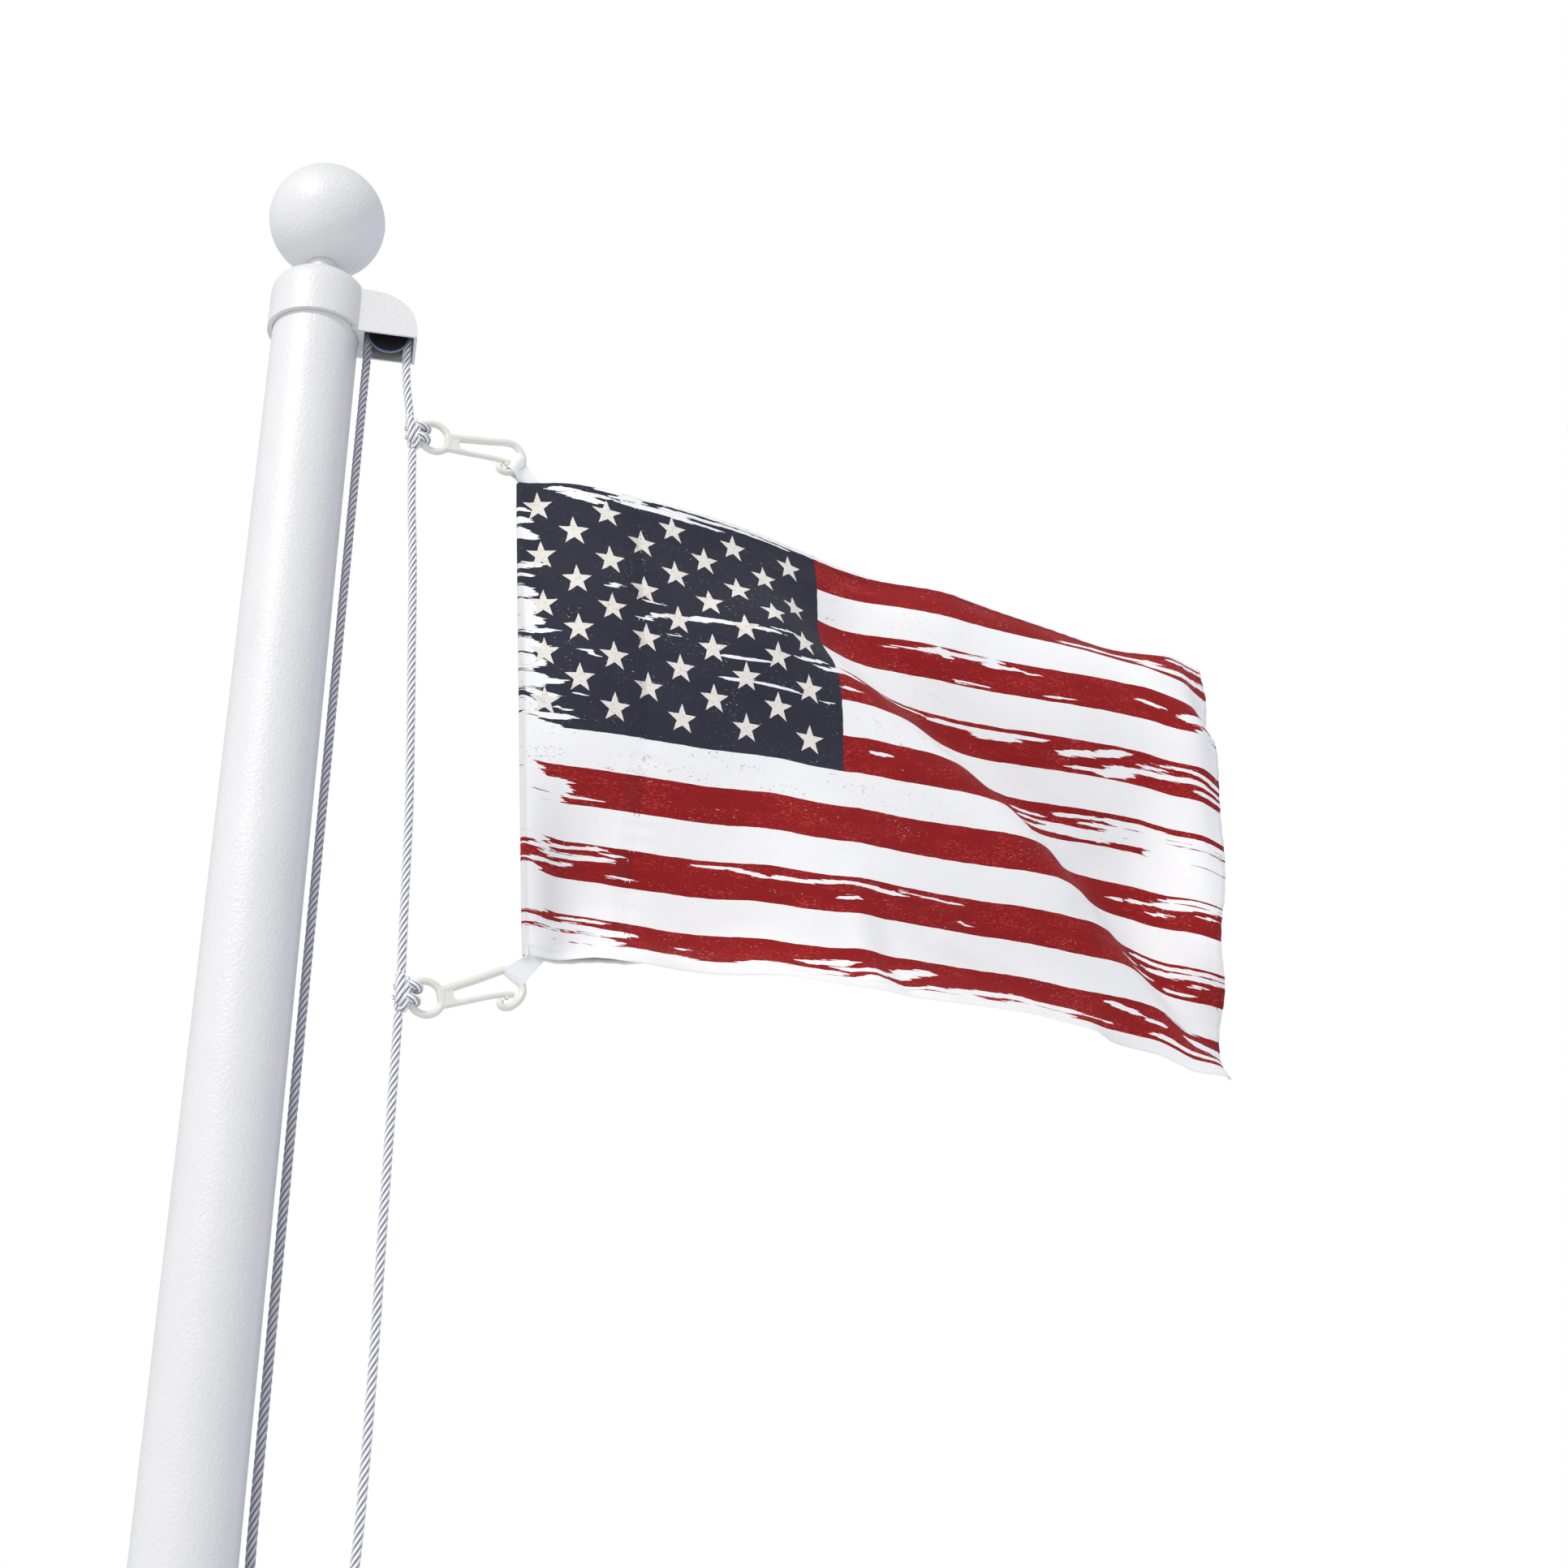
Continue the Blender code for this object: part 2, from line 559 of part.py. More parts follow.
def fold_depth(along, down):
    """How far the cloth stands out of its plane, in millimetres, for arrays of places on it."""
    depth = np.zeros_like(along)
    for fold in FOLDS.values():
        run = fold.along_2 - fold.along_1
        fall = fold.down_2 - fold.down_1
        length = math.hypot(run, fall)
        past = along - fold.along_1
        under = down - fold.down_1
        share = np.clip((past * run + under * fall) / length ** 2, 0, 1)
        away = np.hypot(past - share * run, under - share * fall)
        upper = 0.5 + 0.5 * np.tanh((past * fall - under * run) / length / CREST_BLEND)
        width = fold.below * (1 - upper) + fold.above * upper
        ease = share * share * (3 - 2 * share)
        crest = fold.depth_1 + (fold.depth_2 - fold.depth_1) * ease
        depth += crest * np.exp(-(away / width) ** 2)
    return depth * (1 - np.exp(-(along / HELD_FLAT) ** 2))


def stations(start, stop, step, extra=()):
    """Places from start to stop about a step apart, with the extra ones in their order."""
    count = max(1, round((stop - start) / step))
    places = [start + (stop - start) * k / count for k in range(count + 1)]
    return sorted(places + list(extra))


def cloth_surface(along, down):
    """The cloth's middle surface and its normals, towards the viewer, in millimetres.

    Each step along the cloth and down it keeps its length, so a fold draws the cloth in.
    """
    fine_along = np.union1d(np.arange(0, FLY + 5, 5.0), along)
    fine_down = np.union1d(np.arange(0, HOIST + 5, 5.0), down)
    a_grid, d_grid = np.meshgrid(fine_along, fine_down, indexing="ij")
    depth = fold_depth(a_grid, d_grid)
    shut = 0.2
    steps_a = np.diff(a_grid, axis=0)
    steps_d = np.diff(d_grid, axis=1)
    run = np.sqrt(np.maximum(steps_a ** 2 - np.diff(depth, axis=0) ** 2, (shut * steps_a) ** 2))
    fall = np.sqrt(np.maximum(steps_d ** 2 - np.diff(depth, axis=1) ** 2, (shut * steps_d) ** 2))
    across = HOIST_EDGE[0] + (HOIST_EDGE[1] - HOIST_EDGE[0]) * d_grid / HOIST
    across[1:] += np.cumsum(run, axis=0)
    height = FLAG_TOP - FLY_DROOP * (a_grid / FLY) ** 2
    height[:, 1:] -= np.cumsum(fall, axis=1)
    place = np.stack([PLANE_START.x / MM + PLANE_ALONG.x * across + PLANE_OUT.x * depth,
                      PLANE_ALONG.y * across + PLANE_OUT.y * depth, height], axis=-1)
    along_way = np.stack([np.gradient(place[..., k], fine_along, axis=0) for k in range(3)], axis=-1)
    down_way = np.stack([np.gradient(place[..., k], fine_down, axis=1) for k in range(3)], axis=-1)
    normal = np.cross(down_way, along_way)
    normal /= np.linalg.norm(normal, axis=-1, keepdims=True)
    rows = np.searchsorted(fine_along, along)
    columns = np.searchsorted(fine_down, down)
    return place[np.ix_(rows, columns)], normal[np.ix_(rows, columns)]


def folded_sheet(name, front, back, pocket_front, pocket_back, nose_out, nose_in):
    """A sheet folded back on itself. Rows run across it from the fold, and the pocket's last row is its seam."""
    rows, columns = front.shape[:2]
    seam = pocket_front.shape[0]
    layers = [front, back, pocket_front, pocket_back, nose_out[None], nose_in[None]]
    verts = np.concatenate([layer.reshape(-1, 3) for layer in layers])
    starts = np.cumsum([0] + [layer.shape[0] * columns for layer in layers])
    f, b, p, q, o, i = (lambda r, c, s=s: int(s + r * columns + c) for s in starts[:6])
    seam_row = seam - 1
    q_seam = q
    q = lambda r, c: p(r, c) if r == seam_row else q_seam(r, c)
    faces = []
    last = columns - 1
    for c in range(last):
        for r in range(rows - 1):
            faces.append((f(r, c), f(r + 1, c), f(r + 1, c + 1), f(r, c + 1)))
            faces.append((b(r, c), b(r, c + 1), b(r + 1, c + 1), b(r + 1, c)))
        for r in range(seam_row):
            faces.append((p(r, c), p(r, c + 1), p(r + 1, c + 1), p(r + 1, c)))
            faces.append((q(r, c), q(r + 1, c), q(r + 1, c + 1), q(r, c + 1)))
        faces.append((f(0, c), f(0, c + 1), o(0, c + 1), o(0, c)))
        faces.append((o(0, c), o(0, c + 1), b(0, c + 1), b(0, c)))
        faces.append((p(0, c), i(0, c), i(0, c + 1), p(0, c + 1)))
        faces.append((i(0, c), q(0, c), q(0, c + 1), i(0, c + 1)))
        faces.append((f(rows - 1, c), b(rows - 1, c), b(rows - 1, c + 1), f(rows - 1, c + 1)))
    for c in (0, last):
        faces.append((f(0, c), o(0, c), i(0, c), p(0, c)))
        faces.append((o(0, c), b(0, c), q(0, c), i(0, c)))
        for r in range(seam_row):
            faces.append((f(r, c), p(r, c), p(r + 1, c), f(r + 1, c)))
            faces.append((q(r, c), b(r, c), b(r + 1, c), q(r + 1, c)))
        faces.append((f(seam_row, c), p(seam_row, c), b(seam_row, c), b(seam_row + 1, c), f(seam_row + 1, c)))
        for r in range(seam_row + 1, rows - 1):
            faces.append((f(r, c), b(r, c), b(r + 1, c), f(r + 1, c)))
    mesh = mesh_from(name, verts * MM, faces)
    body = bmesh.new()
    body.from_mesh(mesh)
    bmesh.ops.delete(body, geom=[v for v in body.verts if not v.link_faces], context="VERTS")
    body.to_mesh(mesh)
    body.free()
    return mesh


def sleeve_gap(along):
    """The width of the sleeve's pocket, which closes towards its seam."""
    room = np.clip((SLEEVE - along) / SEAM_TAPER, 0, 1)
    return SLEEVE_GAP * room * (2 - room)


def build_flag(cloth):
    half = CLOTH / 2
    step_at_hem = 0.4
    sleeve_rows = [SLEEVE_FOLD] + stations(11, SLEEVE, 13)
    body_rows = [SLEEVE + SEAM_STEP] + stations(SLEEVE + GRID_STEP, FLY - HEM_FLY - step_at_hem, GRID_STEP)
    along = np.array(sleeve_rows + body_rows + [FLY - HEM_FLY, FLY])
    hem = HEM_TOP_BOTTOM
    down = np.array([0] + stations(hem, HOIST - hem, GRID_STEP, (hem + step_at_hem, HOIST - hem - step_at_hem))
                    + [HOIST])
    place, normal = cloth_surface(along, down)
    a_grid, d_grid = np.meshgrid(along, down, indexing="ij")
    hemmed = (d_grid <= hem) | (d_grid >= HOIST - hem) | (a_grid >= FLY - HEM_FLY)
    extra = np.where(hemmed & (a_grid > SLEEVE), HEM_EXTRA, 0.0)
    gap = sleeve_gap(a_grid)
    folded = np.where(a_grid <= SLEEVE + 0.01, CLOTH + gap, 0.0)
    front = place + normal * half
    back = place - normal * (half + extra + folded)[..., None]
    seam = len(sleeve_rows)
    pocket_front = (place - normal * half)[:seam]
    pocket_back = (place - normal * (half + gap)[..., None])[:seam]
    edge, edge_normal = cloth_surface(np.array([0.0]), down)
    middle = half + SLEEVE_GAP / 2
    nose_out = edge[0] - edge_normal[0] * middle
    nose_in = place[0] - normal[0] * middle - (place[0] - edge[0]) * 0.25
    mesh = folded_sheet("flag_cloth", front, back, pocket_front, pocket_back, nose_out, nose_in)
    add_object("flag_cloth", mesh, cloth, 50)


def build_label(satin):
    """A blank label sewn into the sleeve's seam, behind the cloth."""
    along = np.array(stations(LABEL_ALONG[0], LABEL_ALONG[1], 10))
    down = np.array(stations(LABEL_DOWN[0], LABEL_DOWN[1], 9))
    place, normal = cloth_surface(along, down)
    near = CLOTH / 2 + LABEL_CLEARANCE
    sheets = [place - normal * near, place - normal * (near + LABEL_THICKNESS)]
    rows, columns = place.shape[:2]
    verts = np.concatenate([sheet.reshape(-1, 3) for sheet in sheets]) * MM
    size = rows * columns
    faces = []
    for r in range(rows - 1):
        for c in range(columns - 1):
            quad = (r * columns + c, (r + 1) * columns + c, (r + 1) * columns + c + 1, r * columns + c + 1)
            faces.append(quad)
            faces.append(tuple(size + v for v in reversed(quad)))
    rim = [r * columns for r in range(rows)] + [(rows - 1) * columns + c for c in range(1, columns)]
    rim += [r * columns + columns - 1 for r in range(rows - 2, -1, -1)] + list(range(columns - 2, 0, -1))
    for a, b in zip(rim, rim[1:] + rim[:1]):
        faces.append((a, b, b + size, a + size))
    add_object("care_label", mesh_from("care_label", verts, faces), satin, 50)


def tab_ends(name):
    """The tab's nose on the hook, and the places and normals of its mouth row and end row in the sleeve."""
    tab = TABS[name]
    clip = CLIPS[name]
    turn = math.radians(clip.clip_tilt)
    shares = np.linspace(0, 1, TAB_COLUMNS)
    nose = []
    for share in shares:
        x, z = np.array(tab.nose_1) * (1 - share) + np.array(tab.nose_2) * share
        flat_along = clip.along + x * math.cos(turn) - z * math.sin(turn)
        flat_height = clip.height + x * math.sin(turn) + z * math.cos(turn)
        nose.append(np.array(plane_point(flat_along, 0, flat_height)) / MM)
    in_sleeve = []
    for first, last in ((tab.mouth_1, tab.mouth_2), (tab.end_1, tab.end_2)):
        places = []
        normals = []
        for share in shares:
            spot = np.array(first) * (1 - share) + np.array(last) * share
            place, normal = cloth_surface(spot[:1], spot[1:])
            places.append(place[0, 0] - normal[0, 0] * (CLOTH / 2 + SLEEVE_GAP / 2))
            normals.append(normal[0, 0])
        in_sleeve += [np.array(places), np.array(normals)]
    return np.array(nose), in_sleeve


def build_tab(name, webbing):
    """A webbing loop on the clip's hook. Its two layers part round the hook and are sewn flat in the sleeve."""
    nose, (mouth, mouth_normal, end, end_normal) = tab_ends(name)
    out = np.array(PLANE_OUT)
    way = mouth - nose
    rise = (way @ out)[:, None]
    way = way - rise * out
    length = np.linalg.norm(way, axis=1, keepdims=True)
    way = way / length
    layers = {"front": [], "back": [], "pocket_front": [], "pocket_back": []}

    def add_row(distance, outer, inner):
        share = np.clip((distance - HOOK_ROOM) / (length - HOOK_ROOM), 0, 1)
        share = share * share * (3 - 2 * share)
        normal = out * (1 - share) + mouth_normal * share
        normal /= np.linalg.norm(normal, axis=1, keepdims=True)
        middle = nose + way * distance + out * (rise * share)
        layers["front"].append(middle + normal * outer)
        layers["back"].append(middle - normal * outer)
        if inner is not None:
            layers["pocket_front"].append(middle + normal * inner)
            layers["pocket_back"].append(middle - normal * inner)

    for row in NOSE_ROWS:
        add_row(row.distance, row.half_gap + TAB_LAYER, row.half_gap)
    add_row(float(length.min()) - 1.5, TAB_LAYER, 0.0)
    for place, normal in ((mouth, mouth_normal), (end, end_normal)):
        layers["front"].append(place + normal * TAB_LAYER)
        layers["back"].append(place - normal * TAB_LAYER)
    rows = {key: np.array(value) for key, value in layers.items()}
    mesh = folded_sheet("tab_" + name, rows["front"], rows["back"], rows["pocket_front"],
                        rows["pocket_back"], nose, nose + way * TAB_LAYER)
    add_object("tab_" + name, mesh, webbing, 50)


def build_all():
    clear_scene()
    white = plain_material("white_paint", (0.86, 0.87, 0.89), 0.32)
    build_pole(white)
    build_cap(white)
    build_ball(plain_material("ball_paint", (0.84, 0.86, 0.90), 0.30))
    build_sheave(plain_material("sheave_nylon", (0.05, 0.05, 0.06), 0.4),
                 plain_material("pin_steel", (0.55, 0.56, 0.58), 0.3, 1.0))
    build_cleat(plain_material("cleat_paint", (0.82, 0.83, 0.85), 0.4))
    rope = plain_material("rope_polyester", (0.80, 0.81, 0.84), 0.7)
    build_line(rope)
    build_turns(rope)
    build_knots(rope)
    build_clips(plain_material("clip_nylon", (0.83, 0.82, 0.77), 0.35))
    build_flag(plain_material("flag_polyester", (0.62, 0.24, 0.26), 0.8))
    build_label(plain_material("label_satin", (0.86, 0.86, 0.86), 0.6))
    webbing = plain_material("tab_webbing", (0.84, 0.84, 0.85), 0.8)
    for name in TABS:
        build_tab(name, webbing)


build_all()
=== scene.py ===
import math
from collections import namedtuple

import bmesh
import bpy
import numpy as np
from mathutils import Euler, Matrix, Vector


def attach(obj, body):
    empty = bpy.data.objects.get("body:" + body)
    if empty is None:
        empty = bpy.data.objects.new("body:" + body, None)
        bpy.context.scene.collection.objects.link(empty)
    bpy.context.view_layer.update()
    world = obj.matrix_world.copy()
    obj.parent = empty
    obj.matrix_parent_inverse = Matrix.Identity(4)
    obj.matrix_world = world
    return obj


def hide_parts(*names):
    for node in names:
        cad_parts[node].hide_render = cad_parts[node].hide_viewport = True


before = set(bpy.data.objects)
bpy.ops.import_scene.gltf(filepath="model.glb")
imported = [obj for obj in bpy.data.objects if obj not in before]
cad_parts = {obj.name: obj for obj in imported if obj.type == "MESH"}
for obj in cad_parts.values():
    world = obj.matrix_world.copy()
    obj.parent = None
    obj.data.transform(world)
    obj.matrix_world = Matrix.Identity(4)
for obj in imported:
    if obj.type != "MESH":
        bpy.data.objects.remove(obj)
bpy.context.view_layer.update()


# View, sky and lamp
# The flag is seen from low down and close to its pole, looking up. A pale floor, a white sky that is
# a little blue in the shade, and one soft lamp high on the left stand in for a bright day.
camera_data = bpy.data.cameras.new("low_camera")
camera_data.lens = 50
camera_data.sensor_width = 36
camera_data.clip_start = 0.05
camera_data.clip_end = 60
camera = bpy.data.objects.new("low_camera", camera_data)
bpy.context.scene.collection.objects.link(camera)
camera.location = (0.04665, -1.32029, 0.05038)
camera.rotation_euler = (math.radians(114.370), 0, math.radians(-12.580))
bpy.context.scene.camera = camera
bpy.context.scene.view_settings.view_transform = "Standard"

sky = bpy.data.worlds.new("white_sky")
sky.use_nodes = True
sky_tree = sky.node_tree
sky_seen = sky_tree.nodes.new("ShaderNodeBackground")
sky_seen.inputs["Color"].default_value = (1, 1, 1, 1)
sky_seen.inputs["Strength"].default_value = 1.0
sky_light = sky_tree.nodes["Background"]
sky_light.inputs["Color"].default_value = (0.92, 0.94, 1.0, 1)
sky_light.inputs["Strength"].default_value = 0.735
sky_path = sky_tree.nodes.new("ShaderNodeLightPath")
sky_mix = sky_tree.nodes.new("ShaderNodeMixShader")
sky_tree.links.new(sky_path.outputs["Is Camera Ray"], sky_mix.inputs[0])
sky_tree.links.new(sky_light.outputs[0], sky_mix.inputs[1])
sky_tree.links.new(sky_seen.outputs[0], sky_mix.inputs[2])
sky_tree.links.new(sky_mix.outputs[0], sky_tree.nodes["World Output"].inputs["Surface"])
bpy.context.scene.world = sky


def add_lamp(name, towards, distance, size, power, colour):
    """A square lamp that shines on the middle of the flag and pole from this direction."""
    aim = Vector((0.25, 0.05, 0.75))
    back = Vector(towards).normalized()
    lamp = bpy.data.lights.new(name, "AREA")
    lamp.size = size
    lamp.energy = power
    lamp.color = colour
    holder = bpy.data.objects.new(name, lamp)
    bpy.context.scene.collection.objects.link(holder)
    holder.location = aim + back * distance
    holder.rotation_euler = back.to_track_quat("Z", "Y").to_euler()


add_lamp("day_lamp", (-0.515, -0.624, 0.588), 7.0, 0.85, 285, (1.0, 0.975, 0.94))
add_lamp("left_sky_lamp", (-1.0, -0.25, 0.1), 3.0, 2.6, 2.5, (1.0, 1.0, 0.99))
add_lamp("blue_sky_lamp", (0.85, 0.45, 0.25), 3.0, 2.4, 7, (0.25, 0.45, 1.0))


def new_material(name, colour, roughness, sheen=0.0, coat=0.0, metallic=0.0):
    """A material with its constant values on the shader's own sockets."""
    made = bpy.data.materials.new(name)
    made.use_nodes = True
    shader = made.node_tree.nodes["Principled BSDF"]
    shader.inputs["Base Color"].default_value = (*colour, 1)
    shader.inputs["Roughness"].default_value = roughness
    shader.inputs["Sheen Weight"].default_value = sheen
    shader.inputs["Coat Weight"].default_value = coat
    shader.inputs["Metallic"].default_value = metallic
    return made


def calc(tree, operation, *values, clamp=False):
    """One sum on numbers or on other nodes' results."""
    made = tree.nodes.new("ShaderNodeMath")
    made.operation = operation
    made.use_clamp = clamp
    for socket, value in zip(made.inputs, values):
        if isinstance(value, bpy.types.NodeSocket):
            tree.links.new(value, socket)
        else:
            socket.default_value = value
    return made.outputs[0]


def blend_colour(tree, share, first, second):
    """The first colour where share is 0, and the second where it is 1."""
    made = tree.nodes.new("ShaderNodeMix")
    made.data_type = "RGBA"
    for number, value in ((0, share), (6, first), (7, second)):
        if isinstance(value, bpy.types.NodeSocket):
            tree.links.new(value, made.inputs[number])
        else:
            made.inputs[number].default_value = value if number == 0 else (*value, 1)
    return made.outputs[2]


def cloudy(tree, vector, scale, detail=2.0, roughness=0.5):
    """Cloudy noise from 0 to 1, its patches about 1 / scale metres wide."""
    made = tree.nodes.new("ShaderNodeTexNoise")
    made.inputs["Scale"].default_value = scale
    made.inputs["Detail"].default_value = detail
    made.inputs["Roughness"].default_value = roughness
    tree.links.new(vector, made.inputs["Vector"])
    return made.outputs[0]


def step_up(tree, value, low, high):
    """0 below low and 1 above high."""
    made = tree.nodes.new("ShaderNodeMapRange")
    made.inputs["From Min"].default_value = low
    made.inputs["From Max"].default_value = high
    tree.links.new(value, made.inputs["Value"])
    return made.outputs[0]


def place_of(tree):
    """Where a point lies on the object, in metres."""
    return tree.nodes.new("ShaderNodeTexCoord").outputs["Object"]


def raise_surface(material, height, depth, strength=1.0):
    """Gives the material a fine relief this deep, in metres."""
    tree = material.node_tree
    bump = tree.nodes.new("ShaderNodeBump")
    bump.inputs["Strength"].default_value = strength
    bump.inputs["Distance"].default_value = depth
    tree.links.new(height, bump.inputs["Height"])
    tree.links.new(bump.outputs[0], tree.nodes["Principled BSDF"].inputs["Normal"])


def paint_with(material, colour):
    """Gives the material this colour, which comes from another node."""
    tree = material.node_tree
    tree.links.new(colour, tree.nodes["Principled BSDF"].inputs["Base Color"])


FLOOR_REACH = 6
FLOOR_HEIGHT = -0.002
floor_material = new_material("pale_floor", (0.82, 0.82, 0.83), 0.8)
floor_tree = floor_material.node_tree
paint_with(floor_material, blend_colour(floor_tree, cloudy(floor_tree, place_of(floor_tree), 1.5),
                                        (0.80, 0.80, 0.81), (0.85, 0.85, 0.86)))
floor_mesh = bpy.data.meshes.new("pale_floor")
floor_corners = [(x * FLOOR_REACH, y * FLOOR_REACH, FLOOR_HEIGHT)
                 for x, y in ((-1, -1), (1, -1), (1, 1), (-1, 1))]
floor_mesh.from_pydata(floor_corners, [], [(0, 1, 2, 3)])
floor_mesh.materials.append(floor_material)
floor = bpy.data.objects.new("pale_floor", floor_mesh)
bpy.context.scene.collection.objects.link(floor)


# Halyard
# The line that hoists the flag is one white polyester rope, 6 mm thick, laid up from thin strands
# that wind to the right. It runs from the cleat up over the sheave and down through both hitches.
ROPE_RADIUS = 0.003
ROPE_STRANDS = 5
POINTS_A_STRAND = 7
STRAND_DEPTH = 0.36
ROPE_LAY = 0.026
RING_SPACING = 0.0016
# Painted shade on the rope reaches out this far from the pole's axis, and is gone by the next.
PAINTED_SHADE_UNTIL = 0.040
PAINTED_SHADE_ENDS = 0.052
SHEAVE_CENTRE = (0.0509, 0, 0.985)
SHEAVE_PITCH_RADIUS = 0.0137
HOIST_ROUTE = (
    (38.2, 12.2, 72.3), (38.0, 11.3, 92), (37.2, 6.2, 122), (36.2, 2.0, 152), (35.8, 0.3, 200),
    (35.8, 0, 420), (36.4, 0, 700), (37.0, 0, 900), (37.2, 0, 960),
)
DROP_ROUTE = ((64.8, 0, 968), (66.6, 0.7, 948), (69.2, 1.5, 932), (71.0, 2.0, 920.1))
BETWEEN_ROUTE = (
    (74.2, 2.9, 896.8), (76.9, 3.6, 853), (81.2, 4.9, 802), (84.9, 5.9, 740), (88.5, 6.9, 680),
    (91.5, 7.8, 622), (93.0, 8.2, 565), (94.6, 8.7, 509.0),
)
RETURN_ROUTE = (
    (94.7, 8.7, 485.4), (94.7, 8.7, 457), (95.0, 8.8, 355), (95.6, 9.0, 259), (94.6, 8.6, 170),
    (91.5, 7.2, 146), (82.0, 2.5, 124), (68.0, -4.6, 109), (56.0, -9.6, 100), (48.4, -11.8, 91),
    (45.0, -12.2, 82), (44.6, -12.2, 72.4),
)


def curve_point(before, start, stop, after, t):
    """A point between start and stop, at share t, on the smooth curve through all four."""
    return 0.5 * (2 * start + (stop - before) * t
                  + (2 * before - 5 * start + 4 * stop - after) * t * t
                  + (3 * start - before - 3 * stop + after) * t ** 3)


def along_route(points, spacing):
    """Points this far apart on the smooth curve through the given ones, in metres."""
    pts = [np.array(p, float) / 1000 for p in points]
    ends = [2 * pts[0] - pts[1], *pts, 2 * pts[-1] - pts[-2]]
    fine = []
    for before, start, stop, after in zip(ends, ends[1:], ends[2:], ends[3:]):
        for t in np.arange(0, 1, 1 / 24):
            fine.append(curve_point(before, start, stop, after, t))
    fine = np.array(fine + [pts[-1]])
    run = np.concatenate([[0], np.cumsum(np.linalg.norm(np.diff(fine, axis=0), axis=1))])
    places = np.linspace(0, run[-1], max(2, round(run[-1] / spacing)) + 1)
    return np.stack([np.interp(places, run, fine[:, k]) for k in range(3)], axis=1)


def add_piece(name, verts, faces, material, sharp_angle=180.0):
    """A smooth mesh that rides with the pole."""
    mesh = bpy.data.meshes.new(name)
    mesh.from_pydata([tuple(v) for v in verts], [], faces)
    mesh.materials.append(material)
    mesh.shade_smooth()
    if sharp_angle < 180:
        mesh.set_sharp_from_angle(angle=math.radians(sharp_angle))
    piece = bpy.data.objects.new(name, mesh)
    bpy.context.scene.collection.objects.link(piece)
    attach(piece, "root")
    return piece


def laid_rope(line, radius):
    """Points, faces and groove depths of a twisted rope along a line, with rounded ends."""
    ahead = np.gradient(line, axis=0)
    ahead /= np.linalg.norm(ahead, axis=1, keepdims=True)
    run = np.concatenate([[0], np.cumsum(np.linalg.norm(np.diff(line, axis=0), axis=1))])
    side = np.cross(ahead[0], (0.3, 1, 0.2))
    count = ROPE_STRANDS * POINTS_A_STRAND
    spread = np.arange(count) * math.tau / count
    across = (np.arange(count) % POINTS_A_STRAND) / POINTS_A_STRAND * 2 - 1
    crest = np.sqrt(1 - across ** 2)
    shape = 1 - STRAND_DEPTH * (1 - crest)
    verts = []
    grooves = []
    for k, (centre, way) in enumerate(zip(line, ahead)):
        side = side - way * (side @ way)
        side /= np.linalg.norm(side)
        up = np.cross(way, side)
        turn = spread + math.tau * run[k] / ROPE_LAY
        ends = min(k, len(line) - 1 - k)
        size = radius * (0.55, 0.86)[ends] if ends < 2 else radius
        ring = np.outer(np.cos(turn) * shape, side) + np.outer(np.sin(turn) * shape, up)
        verts.append(centre + ring * size)
        grooves.append(1 - crest)
    verts = np.concatenate(verts)
    faces = []
    for k in range(len(line) - 1):
        for j in range(count):
            low, after = k * count, (j + 1) % count
            faces.append((low + j, low + after, low + count + after, low + count + j))
    last = (len(line) - 1) * count
    faces.append(tuple(reversed(range(count))))
    faces.append(tuple(last + j for j in range(count)))
    return verts, faces, np.concatenate(grooves)


def rope_finish():
    """White twisted polyester, with painted shade in its grooves and beside the pole."""
    made = new_material("twisted_white_rope", (0.74, 0.75, 0.78), 0.62, sheen=0.25)
    tree = made.node_tree
    groove = tree.nodes.new("ShaderNodeAttribute")
    groove.attribute_name = "groove"
    place = place_of(tree)
    split = tree.nodes.new("ShaderNodeSeparateXYZ")
    tree.links.new(place, split.inputs[0])
    rope_colour = blend_colour(tree, cloudy(tree, place, 60, 3), (0.86, 0.87, 0.90), (0.95, 0.95, 0.97))
    # Painted shade: beside the pole the rope is painted grey, standing in for the pole's shadow.
    clear_of_painted_shade = step_up(tree, split.outputs[0], PAINTED_SHADE_UNTIL, PAINTED_SHADE_ENDS)
    rope_colour = blend_colour(tree, clear_of_painted_shade, (0.47, 0.48, 0.53), rope_colour)
    # Painted shade: the grooves between the strands are painted near black.
    dark = calc(tree, "MULTIPLY", groove.outputs["Fac"], 1.2, clamp=True)
    paint_with(made, blend_colour(tree, dark, rope_colour, (0.07, 0.075, 0.12)))
    raise_surface(made, cloudy(tree, place, 2600, 3), 0.0003)
    return made


rope_material = rope_finish()


def store_value(mesh, name, values):
    """Stores one number for each point, which the material reads by this name."""
    mesh.attributes.new(name, "FLOAT", "POINT").data.foreach_set("value", values.astype(np.float32))


def add_rope(name, lines, radii=None):
    """One rope piece made of one or more laid lengths."""
    verts, faces, grooves = [], [], []
    for line, radius in zip(lines, radii or [ROPE_RADIUS] * len(lines)):
        points, quads, groove = laid_rope(line, radius)
        start = sum(len(v) for v in verts)
        faces += [tuple(start + v for v in quad) for quad in quads]
        verts.append(points)
        grooves.append(groove)
    piece = add_piece(name, np.concatenate(verts), faces, rope_material)
    store_value(piece.data, "groove", np.concatenate(grooves))
    return piece


